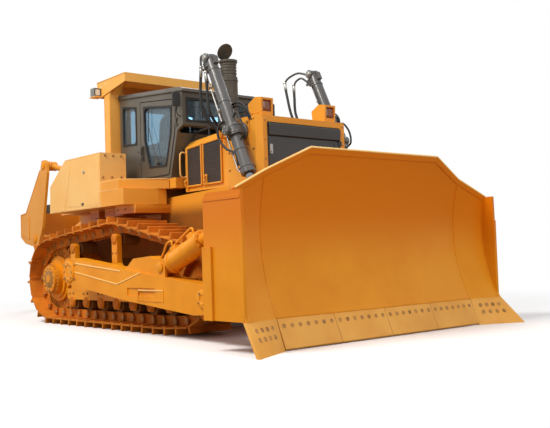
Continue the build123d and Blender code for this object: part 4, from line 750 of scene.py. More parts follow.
def dressBlade(look):
    # folded top edge with a pale bead along it as a painted highlight, weld beads of the wings and seams,
    # plough bolts of the edges, and end-plate trim
    corner = [look["flatHalf"], look["centreHalf"]]
    acrossY = np.array([-look["half"] + 0.036, -corner[1], -corner[0], corner[0], corner[1],
                        look["half"] - 0.036])
    trim = [faceStrip(acrossY, lambda y: topZ(y) - 0.075, lambda y: topZ(y) - 0.012)]
    makePiece("blade_top_fold", trim, "blade_frame", bladePaint, bevel=0.003)
    height = topZ(acrossY) - 0.006
    rim = bead(np.stack([faceX(height, acrossY) - 0.004, acrossY, height], 1), 0.011, count=8)
    # painted highlight: a bead along the blade's top edge in pale paint
    makePiece("blade_top_rim", [rim], "blade_frame", highlightPaint, crease=60)
    beads = []
    for side in sides:
        z = np.linspace(look["seamZ"] + 0.01, topZ(look["centreHalf"]) - 0.08, 24)
        y = np.full_like(z, side * look["centreHalf"])
        beads.append(bead(np.stack([faceX(z, y) + 0.001, y, z], 1), 0.008))
        z = np.linspace(look["seamZ"] + 0.01, look["shoulderZ"] - 0.02, 24)
        y = np.full_like(z, side * (look["half"] - 0.038))
        beads.append(bead(np.stack([faceX(z, y) + 0.003, y, z], 1), 0.009))
    y = np.linspace(-look["centreHalf"], look["centreHalf"], 40)
    seam = np.full_like(y, look["seamZ"] + 0.004)
    beads.append(bead(np.stack([faceX(seam, y) + 0.001, y, seam], 1), 0.007))
    makePiece("blade_weld_beads", beads, "blade_frame", bladePaint, crease=60)
    edgeTop = np.array([look["seamX"] - 0.002, 0, look["seamZ"]])
    edgeLow = np.array([look["edgeTip"][0], 0, look["edgeTip"][1]])
    down = edgeLow - edgeTop
    normal = unit([-down[2], 0, down[0]])
    spots, width = [], 2 * look["centreHalf"] / look["edgePlates"]
    for plate in range(look["edgePlates"]):
        for share in np.linspace(0.08, 0.92, 7):
            spots.append(edgeTop + down * 0.26 + [0, -look["centreHalf"] + (plate + share) * width, 0])
    heads = [roundHead(spot, normal) for spot in spots]
    for side in sides:
        topLine = np.array([[look["seamX"], side * 1.596, look["seamZ"]],
                            [look["topX"] + 0.100, side * 2.078, look["seamZ"]]])
        lowLine = np.array([[look["edgeTip"][0], side * 1.596, 0],
                            [look["bitTip"][0], side * look["bitTip"][1], 0]])
        for share in (0.22, 0.40, 0.58, 0.76):
            for drop in (0.26, 0.52):
                upper, lower = topLine[0] + (topLine[1]
                                             - topLine[0]) * share, lowLine[0] + (lowLine[1]
                                                                                  - lowLine[0]) * share
                slope = unit(lower - upper)
                facing = unit(np.cross(slope, topLine[1] - topLine[0])) * side
                facing = facing if facing[0] > 0 else -facing
                heads.append(roundHead(upper + (lower - upper) * drop, facing, 0.027))
    makePiece("edge_bolts", heads, "blade_frame", boltSteel)
    plates = []
    for side in sides:
        y = side * look["half"]
        plates.append(slab((3.860, y - side * 0.004, 1.520), (4.480, y + side * 0.006, 1.560), 0.004, 1))
        plates.append(slab((4.470, y - side * 0.034, 0.330), (4.505, y + side * 0.004, 1.300), 0.004, 1))
    makePiece("end_plate_trim", plates, "blade_frame", bladePaint, bevel=0.003)


dressBlade(bladeForm)
print("blade dressed")

# Push arms, trunnion caps and tilt braces.
armForm = {"outer": 1.700, "trunnion": (0.055, 0.800), "pin": (3.375, 0.499), "bracketFace": 1.758,
           "braceLow": (2.420, 0.850), "braceHigh": (3.500, 1.262), "braceY": 1.591,
           "seam": ((0.23, 0.795), (1.396, 0.640), (1.971, 0.784)),
           "pocket": ((1.905, 0.440), (2.480, 0.565))}


def dressArms(look):
    # weld lines and pocket rim on the arm, with the welds, the pocket's top rim and a rib in pale paint as a
    # painted highlight; split bearing cap at the rear, pin cover and brace fittings in front
    for side in sides:
        face, out = side * look["outer"], np.array([0, side, 0])
        trim, bolts = [], []
        seam = np.array([[x, face, z] for x, z in look["seam"]])
        wearAndHighlight = [strip(part, 0.014, 0.016, 0.003) for part in (seam[:2], seam[1:])]
        (x0, z0), (x1, z1) = look["pocket"]
        rim = [slab((x0, face - side * 0.006, z), (x1, face + side * 0.007, z + 0.014), 0.003, 1)
               for z in (z0, z1)]
        rim += [slab((x, face - side * 0.006, z0), (x + 0.014, face + side * 0.007, z1 + 0.014), 0.003, 1)
                for x in (x0, x1)]
        wearAndHighlight.append(rim[1])
        trim += [rim[0], *rim[2:]]
        cap = (look["trunnion"][0], face, look["trunnion"][1])
        trim.append(turned([(0.150, -0.010), (0.150, 0.014), (0.128, 0.022), (0.100, 0.022), (0.092, 0.014),
                            (0.040, 0.014)], cap, out, 36))
        trim.append(slab((cap[0] - 0.012, face, cap[2] - 0.19), (cap[0] + 0.012, face + side * 0.012,
                                                                 cap[2] + 0.19), 0.004, 1))
        bolts.append(boltRing(np.array(cap) + out * 0.020, out, 0.114, 8, 0.013))
        bolts += [hexBolt((cap[0] + dx, face, cap[2] + dz), out, 0.018, 0.016) for dx in (-0.15, 0.16)
                  for dz in (-0.10, 0.10)]
        front = np.array([look["pin"][0], side * look["bracketFace"], look["pin"][1]])
        trim.append(turned([(0.105, -0.006), (0.105, 0.012), (0.092, 0.020), (0.050, 0.020),
                            (0.044, 0.012)], front, out, 32))
        bolts.append(boltRing(front + out * 0.018, out, 0.072, 4, 0.014, 0.6))
        bolts += [hexBolt((3.36 + dx, side * look["bracketFace"], 0.36), out, 0.015, 0.014)
                  for dx in (0.12, 0.24)]
        # steel rib under the arm's top edge, from the cap to the brace seat, in pale paint as a painted
        # highlight
        wearAndHighlight.append(prism([(0.25, 0.925), (1.48, 0.815), (1.48, 0.800), (0.25, 0.910)],
                            (0, face - side * 0.006, 0), (1, 0, 0), (0, 0, 1), -side * 0.014))
        # painted highlight along the arm's welds, pocket rim and rib
        makePiece(f"push_arm_edges_{sideName[side]}", wearAndHighlight, "blade_frame", highlightPaint, bevel=0.003)
        makePiece(f"push_arm_trim_{sideName[side]}", trim, "blade_frame", deepPaint, bevel=0.003)
        makePiece(f"push_arm_bolts_{sideName[side]}", bolts, "blade_frame", boltSteel)
        low = np.array([look["braceLow"][0], side * look["braceY"], look["braceLow"][1]])
        high = np.array([look["braceHigh"][0], side * look["braceY"], look["braceHigh"][1]])
        run = unit(high - low)
        body = 0.118 if side < 0 else 0.095
        fittings = []
        for start, width, grow in ((0.142, 0.045, 0.016), (0.46, 0.022, 0.008), (0.775, 0.050, 0.016)):
            fittings.append(collar(low + run * start, run, body - 0.004, body + grow, width, 0.004, 40))
        upward = unit(np.cross(run, [0, side, 0]))
        upward = upward if upward[2] > 0 else -upward
        across = np.array([0, 1.0, 0])
        for start in (0.24, 0.62):
            spot = low + run * start + upward * (body - 0.006)
            fittings.append(prism(roundedOutline(0.11, 0.09, 0.014), spot, run, across,
                                  0.055 if np.cross(run, across) @ upward > 0 else -0.055))
        fittings.append(collar(low + run * 0.83, run, 0.075, 0.082, 0.028, 0.004, 32))
        makePiece(f"brace_collars_{sideName[side]}", fittings, "blade_frame", deepPaint, bevel=0.003)
        nuts = [boltRing(low + run * 0.826, run, body - 0.012, 10, 0.011)]
        for end in (low, high):
            width = 0.104 if end is low else 0.127
            nuts.append(turned([(0.060, 0), (0.060, 0.012), (0.046, 0.018)], end + out * width, out, 24))
        makePiece(f"brace_pins_{sideName[side]}", nuts, "blade_frame", deepPaint)
        if side < 0:
            pipes = []
            for shift, reach in ((-0.03, 0.24), (0.03, 0.62)):
                start = low + run * reach + upward * (body + 0.060) + across * shift
                pipes.append(hose([start, start + upward * 0.05, start + upward * 0.06 - run * 0.10,
                                   low + run * 0.02 + upward * 0.16 + across * shift,
                                   low - run * 0.22 + upward * 0.05 + across * shift,
                                   low - run * 0.5 + [0, 0.02, 0.12]], 0.014, 8, 10))
            makePiece("tilt_pipes", pipes, "blade_frame", deepPaint, crease=60)


dressArms(armForm)
print("push arms dressed")

# Radiator guard: grille mesh, bands, latch and lamps.
# A lamp's dome is rows of its share of the outline and its height.
guardForm = {"front": 3.190, "meshX": 3.158, "meshHalf": 0.501, "meshLow": 1.516, "meshHigh": 2.368,
             "meshStep": 0.028, "wire": 0.004, "doorHalf": 0.611, "doorLow": 1.426, "doorHigh": 2.558,
             "latchY": -0.576, "faceBolts": (0.655, 1.40, 2.58),
             "sideBolts": ((2.60, 3.09), 0.750, 1.36, 2.24), "yoke": (2.893, 0.764, 2.463),
             "yokeBolts": ((-0.105, 0.105), (-0.135, 0.0, 0.115)), "lampY": 0.534, "lampX": 3.076,
             "lampLow": 2.712, "lampHigh": 2.842, "lampHalf": 0.058,
             "lampDome": ((1.0, 0.0), (0.98, 0.008), (0.85, 0.016), (0.55, 0.021), (0.2, 0.023))}


def dressGrille(look):
    # crossed wires at equal steps, a sloped band above them, strips beside and below, and a latch
    x, half, low, high = look["meshX"], look["meshHalf"], look["meshLow"], look["meshHigh"]
    door, wire, middle = look["doorHalf"] - 0.010, look["wire"], look["meshStep"] / 2
    bars = [slab((x, -half - wire, z - wire), (x + 0.006, half + wire, z + wire), 0.002, 1)
            for z in np.arange(low + 0.012, high, look["meshStep"])]
    bars += [slab((x + wire, y - wire, low - wire), (x + 0.011, y + wire, high + wire), 0.002, 2)
             for y in np.arange(-half + middle, half, look["meshStep"])]
    makePiece("grille_mesh", bars, "grille", grillePaint, crease=60)
    face = look["front"] - 0.004
    band = [(0, high + 0.020), (0.030, high + 0.036), (0.040, look["doorHigh"] - 0.020),
            (0, look["doorHigh"] - 0.008)]
    trim = [prism(band, (face - 0.004, -door, 0), (1, 0, 0), (0, 0, 1), -2 * door)]
    for side in sides:
        trim.append(slab((face - 0.006, side * (half + 0.012), look["doorLow"] + 0.015),
                         (face + 0.008, side * door, high + 0.004), 0.010, 0))
    trim.append(slab((face - 0.006, -door, look["doorLow"] + 0.006), (face + 0.010, door, low - 0.012),
                     0.008, 0))
    makePiece("grille_bands", trim, "grille", grillePaint, bevel=0.003)
    y = look["latchY"]
    latch = [slab((face, y - 0.020, 2.170), (face + 0.030, y + 0.020, 2.290), 0.010, 0),
             rod((face + 0.020, y, 2.200), (face + 0.048, y, 2.200), 0.011, 16, 0.002)]
    makePiece("grille_latch", latch, "grille", zincSteel, bevel=0.002)


def dressGuard(look):
    # bolts in rows on the face, the sides and the yokes, strips on the edges, and the two lamps
    bolts, strips, fittings = [], [], []
    (faceY, faceLow, faceHigh), (sideX, sideY, sideLow, sideHigh) = look["faceBolts"], look["sideBolts"]
    yokeX, yokeY, yokeZ = look["yoke"]
    aside, apart = look["yokeBolts"]
    for side in sides:
        out = (0, side, 0)
        bolts += bolted(grid([look["front"]], [side * faceY], np.linspace(faceLow, faceHigh, 6)), (1, 0, 0),
                        0.014, 0.012)
        bolts += bolted(grid(sideX, [side * sideY], np.linspace(sideLow, sideHigh, 5)), out, 0.014, 0.012)
        bolts += bolted([(yokeX + dx, side * yokeY, yokeZ + dz) for dx in aside for dz in apart], out,
                        0.018, 0.016)
        strips.append(slab((2.585, side * 0.748, 2.600), (3.110, side * 0.757, 2.632), 0.004, 1))
        strips.append(slab((look["front"] - 0.004, side * 0.690, 1.330),
                           (look["front"] + 0.006, side * 0.640, 2.610), 0.004, 0))
    makePiece("guard_bolts", bolts, "tractor", boltSteel)
    makePiece("guard_edge_strips", strips, "tractor", yellowPaint, bevel=0.003)
    middle, half = (look["lampLow"] + look["lampHigh"]) / 2, (look["lampHigh"] - look["lampLow"]) / 2
    outline = roundedOutline(2 * look["lampHalf"], 2 * half, 0.018)
    for side in sides:
        x, y, letter = look["lampX"], side * look["lampY"], sideName[side]
        layers = [np.array([(x + rise, y + p * share, middle + q * share) for p, q in outline])
                  for share, rise in look["lampDome"]]
        makePiece(f"headlamp_lens_{letter}", [capped(layers)], "tractor", warmLens, crease=50)
        ring = np.array([(x + 0.006, y + p * 1.05, middle + q * 1.05) for p, q in [*outline, outline[0]]])
        makePiece(f"headlamp_rim_{letter}", [strip(ring, 0.014, 0.020, 0.004, (1, 0, 0))], "tractor",
                  redPlastic, crease=50)
        fittings += bolted([(2.93 + dx, y + side * 0.095, 2.70) for dx in (0, 0.11)], (0, side, 0), 0.012,
                           0.010)
        fittings.append(slab((2.87, y - 0.10, 2.640), (3.12, y + 0.10, 2.648), 0.010, 2))
    makePiece("headlamp_mounts", fittings, "tractor", yellowPaint)


dressGrille(guardForm)
dressGuard(guardForm)
print("radiator guard dressed")

# Hood: side vents, latches, rails, stack bands and intake.
# The slat and the grab rail are rows of outwards and upwards.
hoodForm = {"half": 0.620, "rear": 1.425, "front": 2.5597, "topRear": 2.530, "topFront": 2.610,
            "vents": ((1.495, 1.825), (1.875, 2.275)), "ventLow": 1.9103, "ventFall": 0.110,
            "slatStep": 0.026, "slat": ((-0.010, 0.0), (0.006, 0.010), (0.006, 0.014), (-0.010, 0.004)),
            "latches": ((1.490, 1.957), (1.937, 1.985)), "grabX": 1.452, "railY": 0.500,
            "grab": ((0.612, 2.372), (0.690, 2.378), (0.722, 2.340), (0.726, 2.200), (0.722, 2.075),
                     (0.690, 2.040), (0.612, 2.046)), "stack": (2.080, -0.330),
            "stackBands": (2.66, 2.95, 3.27), "stackRings": (3.37, 3.41, 3.45, 3.49),
            "bowl": (1.800, 0.240)}


def hoodTop(x, look=hoodForm):
    # the hood's top rises evenly from the cab to the guard
    return look["topRear"] + (look["topFront"] - look["topRear"]) * (x - look["rear"]) / (look["front"]
                                                                                          - look["rear"])


def dressVents(look, side):
    # louvre slats at equal steps inside raised frames, and a latch below each
    face, letter = side * (look["half"] + 0.014), sideName[side]
    slats, frames, latches = [], [], []
    for x0, x1 in look["vents"]:
        top = look["topRear"] - look["ventFall"]
        slats += [prism(look["slat"], (x0 + 0.012, face, z), (0, side, 0), (0, 0, 1),
                        side * (x1 - x0 - 0.024)) for z in np.arange(look["ventLow"] + 0.02, top - 0.01,
                                                                     look["slatStep"])]
        corners = [(x0, look["ventLow"]), (x1, look["ventLow"]), (x1, hoodTop(x1) - look["ventFall"]),
                   (x0, hoodTop(x0) - look["ventFall"])]
        for (ax, az), (bx, bz) in zip(corners, corners[1:] + corners[:1]):
            run = unit([bx - ax, 0, bz - az]) * 0.010
            frames.append(strip([np.array([ax, face, az]) - run, np.array([bx, face, bz]) + run],
                                0.024, 0.026, 0.005, (0, 1, 0)))
    for x, z in look["latches"]:
        latches.append(slab((x - 0.022, face - side * 0.006, z - 0.075),
                            (x + 0.022, face + side * 0.016, z + 0.055), 0.008, 1))
        latches.append(rod((x, face, z + 0.02), (x, face + side * 0.052, z + 0.02), 0.014, 14, 0.003))
        latches.append(rod((x, face + side * 0.040, z + 0.045), (x, face + side * 0.040, z - 0.045), 0.010,
                           12, 0.002))
    makePiece(f"vent_slats_{letter}", slats, "tractor", dustyVent, crease=60)
    makePiece(f"vent_frames_{letter}", frames, "tractor", yellowPaint, bevel=0.002)
    makePiece(f"vent_latches_{letter}", latches, "tractor", yellowPaint, bevel=0.002)


def dressHood(look):
    # rails that follow the hood's top, grab rails, and seams across it
    for side in sides:
        dressVents(look, side)
        letter, x = sideName[side], np.linspace(1.52, 2.46, 10)
        high = np.stack([x, np.full_like(x, side * look["railY"]), hoodTop(x) + 0.120], 1)
        rails = [hose([high[0] + [-0.05, 0, -0.125], high[0] + [-0.03, 0, -0.03], *high[1:-1:3],
                       high[-1] + [0.02, 0, -0.03], high[-1] + [0.045, 0, -0.125]], 0.014, 6, 10)]
        rails += [rod(high[post] - [0, 0, 0.125], high[post], 0.011, 10) for post in (3, 6)]
        makePiece(f"hood_rail_{letter}", rails, "tractor", darkPlastic, crease=60)
        grab = [hose([(look["grabX"], side * y, z) for y, z in look["grab"]], 0.011, 6, 12)]
        grab += [turned([(0.024, -0.002), (0.024, 0.008), (0.014, 0.010)],
                        (look["grabX"], side * look["half"], z), (0, side, 0), 16)
                 for z in (look["grab"][0][1], look["grab"][-1][1])]
        # the grab rail is the paler paint as a painted highlight
        makePiece(f"grab_rail_{letter}", grab, "tractor", sunlitPaint, crease=60)
    seams = [strip([(x, y, hoodTop(x) + 0.0015) for y in (-0.53, 0.53)], 0.012, 0.006, 0.002, (0, 0, 1))
             for x in (1.86, 2.32)]
    seams.append(slab((1.44, -0.530, hoodTop(1.44) + 0.001), (1.47, 0.530, hoodTop(1.47) + 0.008), 0.003, 1))
    makePiece("hood_seams", seams, "tractor", roofPaint)


def dressStack(look):
    # clamp bands and their pins on the exhaust, rings round its mouth, and ribs round the air intake's bowl
    x, y = look["stack"]
    upward = (0, 0, 1)
    bands = [collar((x, y, z), upward, 0.117, 0.124, 0.028, count=40) for z in look["stackBands"]]
    bands += [collar((x, y, z), upward, 0.103, 0.110, 0.019, count=40) for z in look["stackRings"]]
    bands += [rod((x + 0.120, y - 0.020, z + 0.013), (x + 0.120, y + 0.020, z + 0.013), 0.009, 10)
              for z in look["stackBands"]]
    makePiece("stack_bands", bands, "tractor", sootBlack, bevel=0.001)
    x, y = look["bowl"]
    bowl = [turned([(0.146, 0), (0.158, 0.006), (0.158, 0.022), (0.146, 0.030)], (x, y, z), upward, 40)
            for z in (2.815, 2.94)]
    bowl.append(turned([(0.110, 0), (0.112, 0.012), (0.085, 0.030), (0.020, 0.038)], (x, y, 3.008), upward,
                       36))
    rib = slab((x + 0.148, y - 0.006, 2.850), (x + 0.156, y + 0.006, 2.935), 0.002, 2)
    bowl.append(spun(rib, np.array([x, y, 0]), upward, np.linspace(0, 2 * math.pi, 18, endpoint=False)))
    bowl.append(collar((x, y, 2.70), upward, 0.082, 0.090, 0.024, 0.004, 32))
    makePiece("intake_details", bowl, "tractor", darkPlastic, bevel=0.001)


dressHood(hoodForm)
dressStack(hoodForm)
print("hood dressed")

# Lift cylinders: heads, pipes, hoses and bearings.
# Each line is a bent pipe and the hose that goes on from it. Bands are rows of along the barrel and width;
# pipe and loop are rows of along, behind and outwards.
rightLines = ((((2.470, 0.945, 3.430), (2.410, 0.962, 3.478), (2.338, 0.952, 3.482), (2.322, 0.950, 3.430),
                (2.322, 0.950, 3.330)),
               ((2.314, 0.950, 3.236), (2.306, 0.950, 3.150), (2.299, 0.945, 2.911), (2.335, 0.880, 2.700),
                (2.425, 0.755, 2.515))),
              (((2.505, 0.945, 3.345), (2.455, 0.965, 3.330), (2.432, 0.960, 3.290), (2.431, 0.955, 3.245)),
               ((2.438, 0.955, 3.160), (2.446, 0.955, 3.080), (2.462, 0.945, 2.800), (2.470, 0.870, 2.650),
                (2.470, 0.755, 2.520))))
leftLines = ((((2.400, 0.860, 3.420), (2.300, 0.830, 3.475), (2.180, 0.810, 3.502), (2.020, 0.800, 3.470),
               (1.940, 0.800, 3.425), (1.928, 0.800, 3.390)),
              ((1.943, 0.800, 3.310), (1.962, 0.800, 3.220), (2.045, 0.800, 2.930), (2.190, 0.800, 2.700),
               (2.425, 0.755, 2.515))),
             (((2.367, 0.860, 3.332), (2.310, 0.830, 3.390), (2.255, 0.810, 3.419), (2.165, 0.800, 3.388),
               (2.116, 0.800, 3.330)),
              ((2.119, 0.800, 3.250), (2.122, 0.800, 3.160), (2.135, 0.800, 2.941), (2.240, 0.800, 2.730),
               (2.470, 0.755, 2.520))))
liftForm = {"yoke": (2.893, 0.885, 2.463), "run": (0.42589, 0.0, -0.90477),
            "lines": {-1: rightLines, 1: leftLines}, "bands": ((-1.102, 0.030), (-0.905, 0.018),
                                                               (-0.42, 0.018), (0.26, 0.018)),
            "pipe": ((-1.00, 0.095, 0.030), (-0.96, 0.120, 0.034), (-0.80, 0.122, 0.036),
                     (-0.30, 0.122, 0.036), (0.20, 0.122, 0.036), (0.44, 0.120, 0.036),
                     (0.50, 0.110, 0.030), (0.52, 0.080, 0.020)),
            "loop": ((-0.16, -0.085, 0.01), (-0.17, -0.16, 0.02), (-0.02, -0.20, 0.03), (0.13, -0.17, 0.02),
                     (0.16, -0.085, 0.01)), "lowHose": ((2.775, 0.925, 2.615), (2.690, 0.960, 2.560),
                                                        (2.668, 0.972, 2.473), (2.700, 0.972, 2.370),
                                                        (2.820, 0.965, 2.255), (2.984, 0.950, 2.175)),
            "tail": -1.085, "rodEye": (3.745, 0.885, 0.653), "bulkhead": (2.440, 0.755, 2.505)}


def dressBarrel(look, side, at):
    # collars, trunnion caps and port block, with their bolts, and the pipe clamped behind the barrel
    letter, body = sideLetter[side], f"lift_barrel_{sideLetter[side]}"
    run, out = np.array(look["run"]), np.array([0, side, 0])
    behind, yoke, tail = np.array([run[2], 0, -run[0]]), at(0), look["tail"]
    steel = [collar(at(along), run, 0.074, 0.083, width, count=32) for along, width in look["bands"]]
    steel.append(collar(at(0.500), run, 0.088, 0.096, 0.024, 0.004, 32))
    steel += [collar(at(along), run, 0.104, 0.112, 0.025) for along in (-0.055, 0.030)]
    steel.append(turned([(0.062, 0), (0.062, 0.010), (0.048, 0.018), (0.02, 0.018)], at(0, 0, 0.134), out,
                        28))
    steel.append(turned([(0.118, 0), (0.118, 0.030), (0.100, 0.040)], yoke * [1, 0, 1] + out * 0.766, out,
                        36))
    steel.append(prism(roundedOutline(0.085, 0.060, 0.012), at(-1.06, 0.085, 0), run, out, 0.045))
    steel.append(turned([(0.054, -0.090), (0.060, -0.084), (0.060, 0.084), (0.054, 0.090)], at(tail), out,
                        28))
    makePiece(f"lift_collars_{letter}", steel, body, cylinderGrey, bevel=0.002)
    bolts = [boltRing(at(0.590), run, 0.072, 10, 0.009), boltRing(at(-1.101), -run, 0.052, 6, 0.010),
             boltRing(at(0, 0, 0.150), out, 0.040, 4, 0.008)]
    bolts += [hexBolt(at(tail, 0, far), out * np.sign(far), 0.036, 0.016) for far in (-0.088, 0.088)]
    for rear in (-0.093, 0.093):
        bolts += bolted([at(along, rear, far) for along in (-0.05, 0.05) for far in (-0.045, 0.045)],
                        behind * np.sign(rear), 0.011, 0.012)
    makePiece(f"lift_bolts_{letter}", bolts, body, zincSteel)
    pipe = [hose([at(*place) for place in look["pipe"]], 0.011, 6, 10)]
    pipe += [rod(at(along, 0.070, 0.036), at(along, 0.136, 0.036), 0.018, 12, 0.003)
             for along in (-0.72, -0.36, 0.24)]
    pipe += [rod(at(-1.01, 0.112, far), at(-1.01, 0.150, far), 0.019, 6) for far in (-0.028, 0.028)]
    makePiece(f"lift_pipes_{letter}", pipe, body, zincSteel, crease=45)
    low = [hose([(x, side * y, z) for x, y, z in look["lowHose"]] + [at(0.44, 0.085, 0.04)], 0.015, 8, 12),
           hose([at(*place) for place in look["loop"]], 0.013, 8, 12)]
    makePiece(f"lift_low_hoses_{letter}", low, body, blackRubber, crease=60)


def dressLift(look):
    # from the trunnion: distances along the barrel's run, squarely behind it, and outwards
    run = np.array(look["run"])
    behind = np.array([run[2], 0, -run[0]])
    for side in sides:
        letter, body = sideLetter[side], f"lift_barrel_{sideLetter[side]}"
        portX, portY, portZ = look["bulkhead"]

        def at(along, rear=0.0, outward=0.0):
            # a point beside the barrel
            return np.array(look["yoke"]) * [1, side,
                                             1] + run * along + behind * rear + np.array([0, side,
                                                                                          0]) * outward

        dressBarrel(look, side, at)
        arcs = [hose([(2.585 + shift, side * 0.762, 2.555), (2.660 + shift, side * 0.785, 2.720),
                      (2.770 + shift * 0.5, side * 0.795, 2.822 - shift),
                      (2.910 - shift * 0.5, side * 0.795, 2.818 - shift),
                      (3.010 - shift, side * 0.785, 2.735), (3.060 - shift, side * 0.752, 2.600)], 0.013, 8,
                     10) for shift in (0.0, 0.034)]
        makePiece(f"trunnion_hoses_{letter}", arcs, "tractor", blackRubber, crease=60)
        pipes, ferrules, risers = [], [], []
        for head, foot in look["lines"][side]:
            head, foot = np.array(head) * [1, side, 1], np.array(foot) * [1, side, 1]
            fall = unit(foot[0] - head[-1])
            pipes.append(hose(head, 0.015, 6, 10))
            ferrules.append(rod(head[-1] - fall * 0.012, foot[0] + fall * 0.012, 0.022, 14, 0.004))
            ferrules.append(rod(head[-1] - fall * 0.034, head[-1], 0.026, 6, 0.002))
            risers.append(hose(foot, 0.019, 10, 12))
        makePiece(f"head_pipes_{letter}", pipes, body, cylinderGrey, crease=60)
        makePiece(f"head_ferrules_{letter}", ferrules, body, zincSteel, crease=45)
        piece = makePiece(f"lift_risers_{letter}", risers, None, blackRubber, crease=60)
        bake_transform(piece)
        ports = [rod((portX, side * (portY - 0.010), portZ), (portX, side * (portY + 0.020), portZ - 0.010),
                     0.045, 16, 0.004), slab((portX - 0.09, side * 0.60, 2.45),
                                             (portX + 0.09, side * (portY - 0.010), 2.56), 0.012, 1)]
        makePiece(f"hose_bulkhead_{letter}", ports, "tractor", yellowPaint, bevel=0.003)
        cuff = turned([(0.052, 0), (0.058, 0.003), (0.058, 0.018), (0.050, 0.022)],
                      np.array(look["rodEye"]) * [1, side, 1] - run * 0.100, run, 28)
        makePiece(f"rod_cuff_{letter}", [cuff], f"lift_rod_{letter}", cylinderGrey, bevel=0.001)


dressLift(liftForm)
print("lift cylinders dressed")

# Tanks, fenders and rollover posts.
tankForm = {"outer": 1.400, "front": 0.452, "top": 2.460,
            "panel": ((-0.591, 1.753), (0.418, 1.722), (0.418, 2.432), (-0.372, 2.432)), "sheet": 0.004}


def moved(outline, distance):
    # each edge of an anticlockwise outline shifts outwards by the distance; corners follow where edges meet
    outline = np.asarray(outline, float)
    ahead = np.roll(outline, -1, 0) - outline
    ahead /= np.linalg.norm(ahead, axis=1, keepdims=True)
    normal = np.stack([ahead[:, 1], -ahead[:, 0]], 1)
    before = np.roll(normal, 1, 0)
    return outline + (normal + before) * (distance / (1 + (normal * before).sum(1)))[:, None]


def curved(outline, radius, steps=5):
    # each corner P becomes (1-t)^2 A + 2t(1-t) P + t^2 B, with A and B a radius away along its edges
    outline = np.asarray(outline, float)[:, None]
    back, ahead = np.roll(outline, 1, 0) - outline, np.roll(outline, -1, 0) - outline
    backLength, aheadLength = [np.linalg.norm(way, axis=2, keepdims=True) for way in (back, ahead)]
    a = outline + back * np.minimum(radius / backLength, 0.45)
    b = outline + ahead * np.minimum(radius / aheadLength, 0.45)
    t = np.linspace(0, 1, steps + 1)[None, :, None]
    return ((1 - t) ** 2 * a + 2 * t * (1 - t) * outline + t ** 2 * b).reshape(-1, 2)


def surround(outline, origin, across, upward, deep, proud, reach=0.014, inner=0.014, radius=0.06, steps=5):
    # a window's seal: from a curved inner outline to the opening's outline moved outwards
    inside = curved(moved(outline, -inner), radius, steps)
    outside = np.repeat(moved(outline, reach), steps + 1, 0)
    outside = outside * 0.97 + (inside + (outside - inside) * 0.9) * 0.03
    across, upward = unit(across), unit(upward)
    normal = np.cross(across, upward)
    rows = [(inside, deep), (inside, proud), (outside, proud), (outside, proud - 0.006)]
    points = np.concatenate([np.asarray(origin) + flat[:, :1] * across + flat[:, 1:] * upward
                             + normal * height for flat, height in rows])
    return points, quadGrid(4, len(inside), True, True)


def sidePrism(outline, side, face, thick):
    # an outline in x and z that stands out from a face towards one side
    return prism(outline, (0, face, 0), (1, 0, 0), (0, 0, 1), -thick * side)


def sideSlab(low, high, side, face, deep, proud, corner):
    # a rounded plate between two corners in x and z, from deep to proud of a face towards one side
    return slab((low[0], face + side * deep, low[1]), (high[0], face + side * proud, high[1]), corner, 1)


# Pairs are x and z on the tank's side, y and z on its front, and x and y on the decks.
tankTrim = {"seam": ((-0.655, 1.700), (-0.425, 2.448)), "lines": (((-1.10, 1.700), (0.44, 1.706)),
                                                                  ((-0.60, 2.446), (0.44, 2.452))),
            "hinges": (0.432, (1.86, 2.28)), "lock": (-0.023, 2.224),
            "slot": ((-0.030, 2.216), (-0.016, 2.232)), "pull": ((-0.108, 1.748), (-0.044, 1.780)),
            "lowBolts": ((0.66, 0.86, 1.08), 1.250, 1.633), "frontBolts": ((1.314, 2.422), (1.188, 2.422),
                                                                           (1.353, 2.11), (1.212, 2.114),
                                                                           (1.06, 2.422), (1.06, 2.114)),
            "topBolts": ((-0.55, -0.42, 0.02, 0.36), 1.06), "deckTop": 2.035,
            "deckBolts": ((0.52, 1.34), (0.88, 1.34), (1.02, 1.06), (0.52, 0.86), (1.10, 0.82)),
            "deckEdge": ((0.462, 1.394), (0.950, 1.394), (1.222, 0.790)),
            "lip": ((0.458, 0.952), (1.396, 1.4035)), "rows": (0.50, 1.02, 0.052),
            "pads": (0.84, 0.065, 0.026), "reach": 1.36, "narrowFrom": 0.90, "narrowing": 2.1}
postTrim = {"plate": ((-0.345, -0.015), (0.640, 1.000)), "bolts": ((-0.315, -0.045), (0.70, 0.955)),
            "weld": (-0.270, -0.090, 0.919, 2.487), "seams": (-0.258, -0.102, 0.917, 3.40, 2.49),
            "trayEnd": (-0.435, -0.425, 3.646, 3.660), "trayHalf": 0.930,
            "trayBolts": ((-0.37, -0.31), 3.545), "lamp": (-0.323, 0.995, 3.480),
            "rim": (0.088, 0.104, 0.018), "lens": (0.080, 0.096, 0.016)}


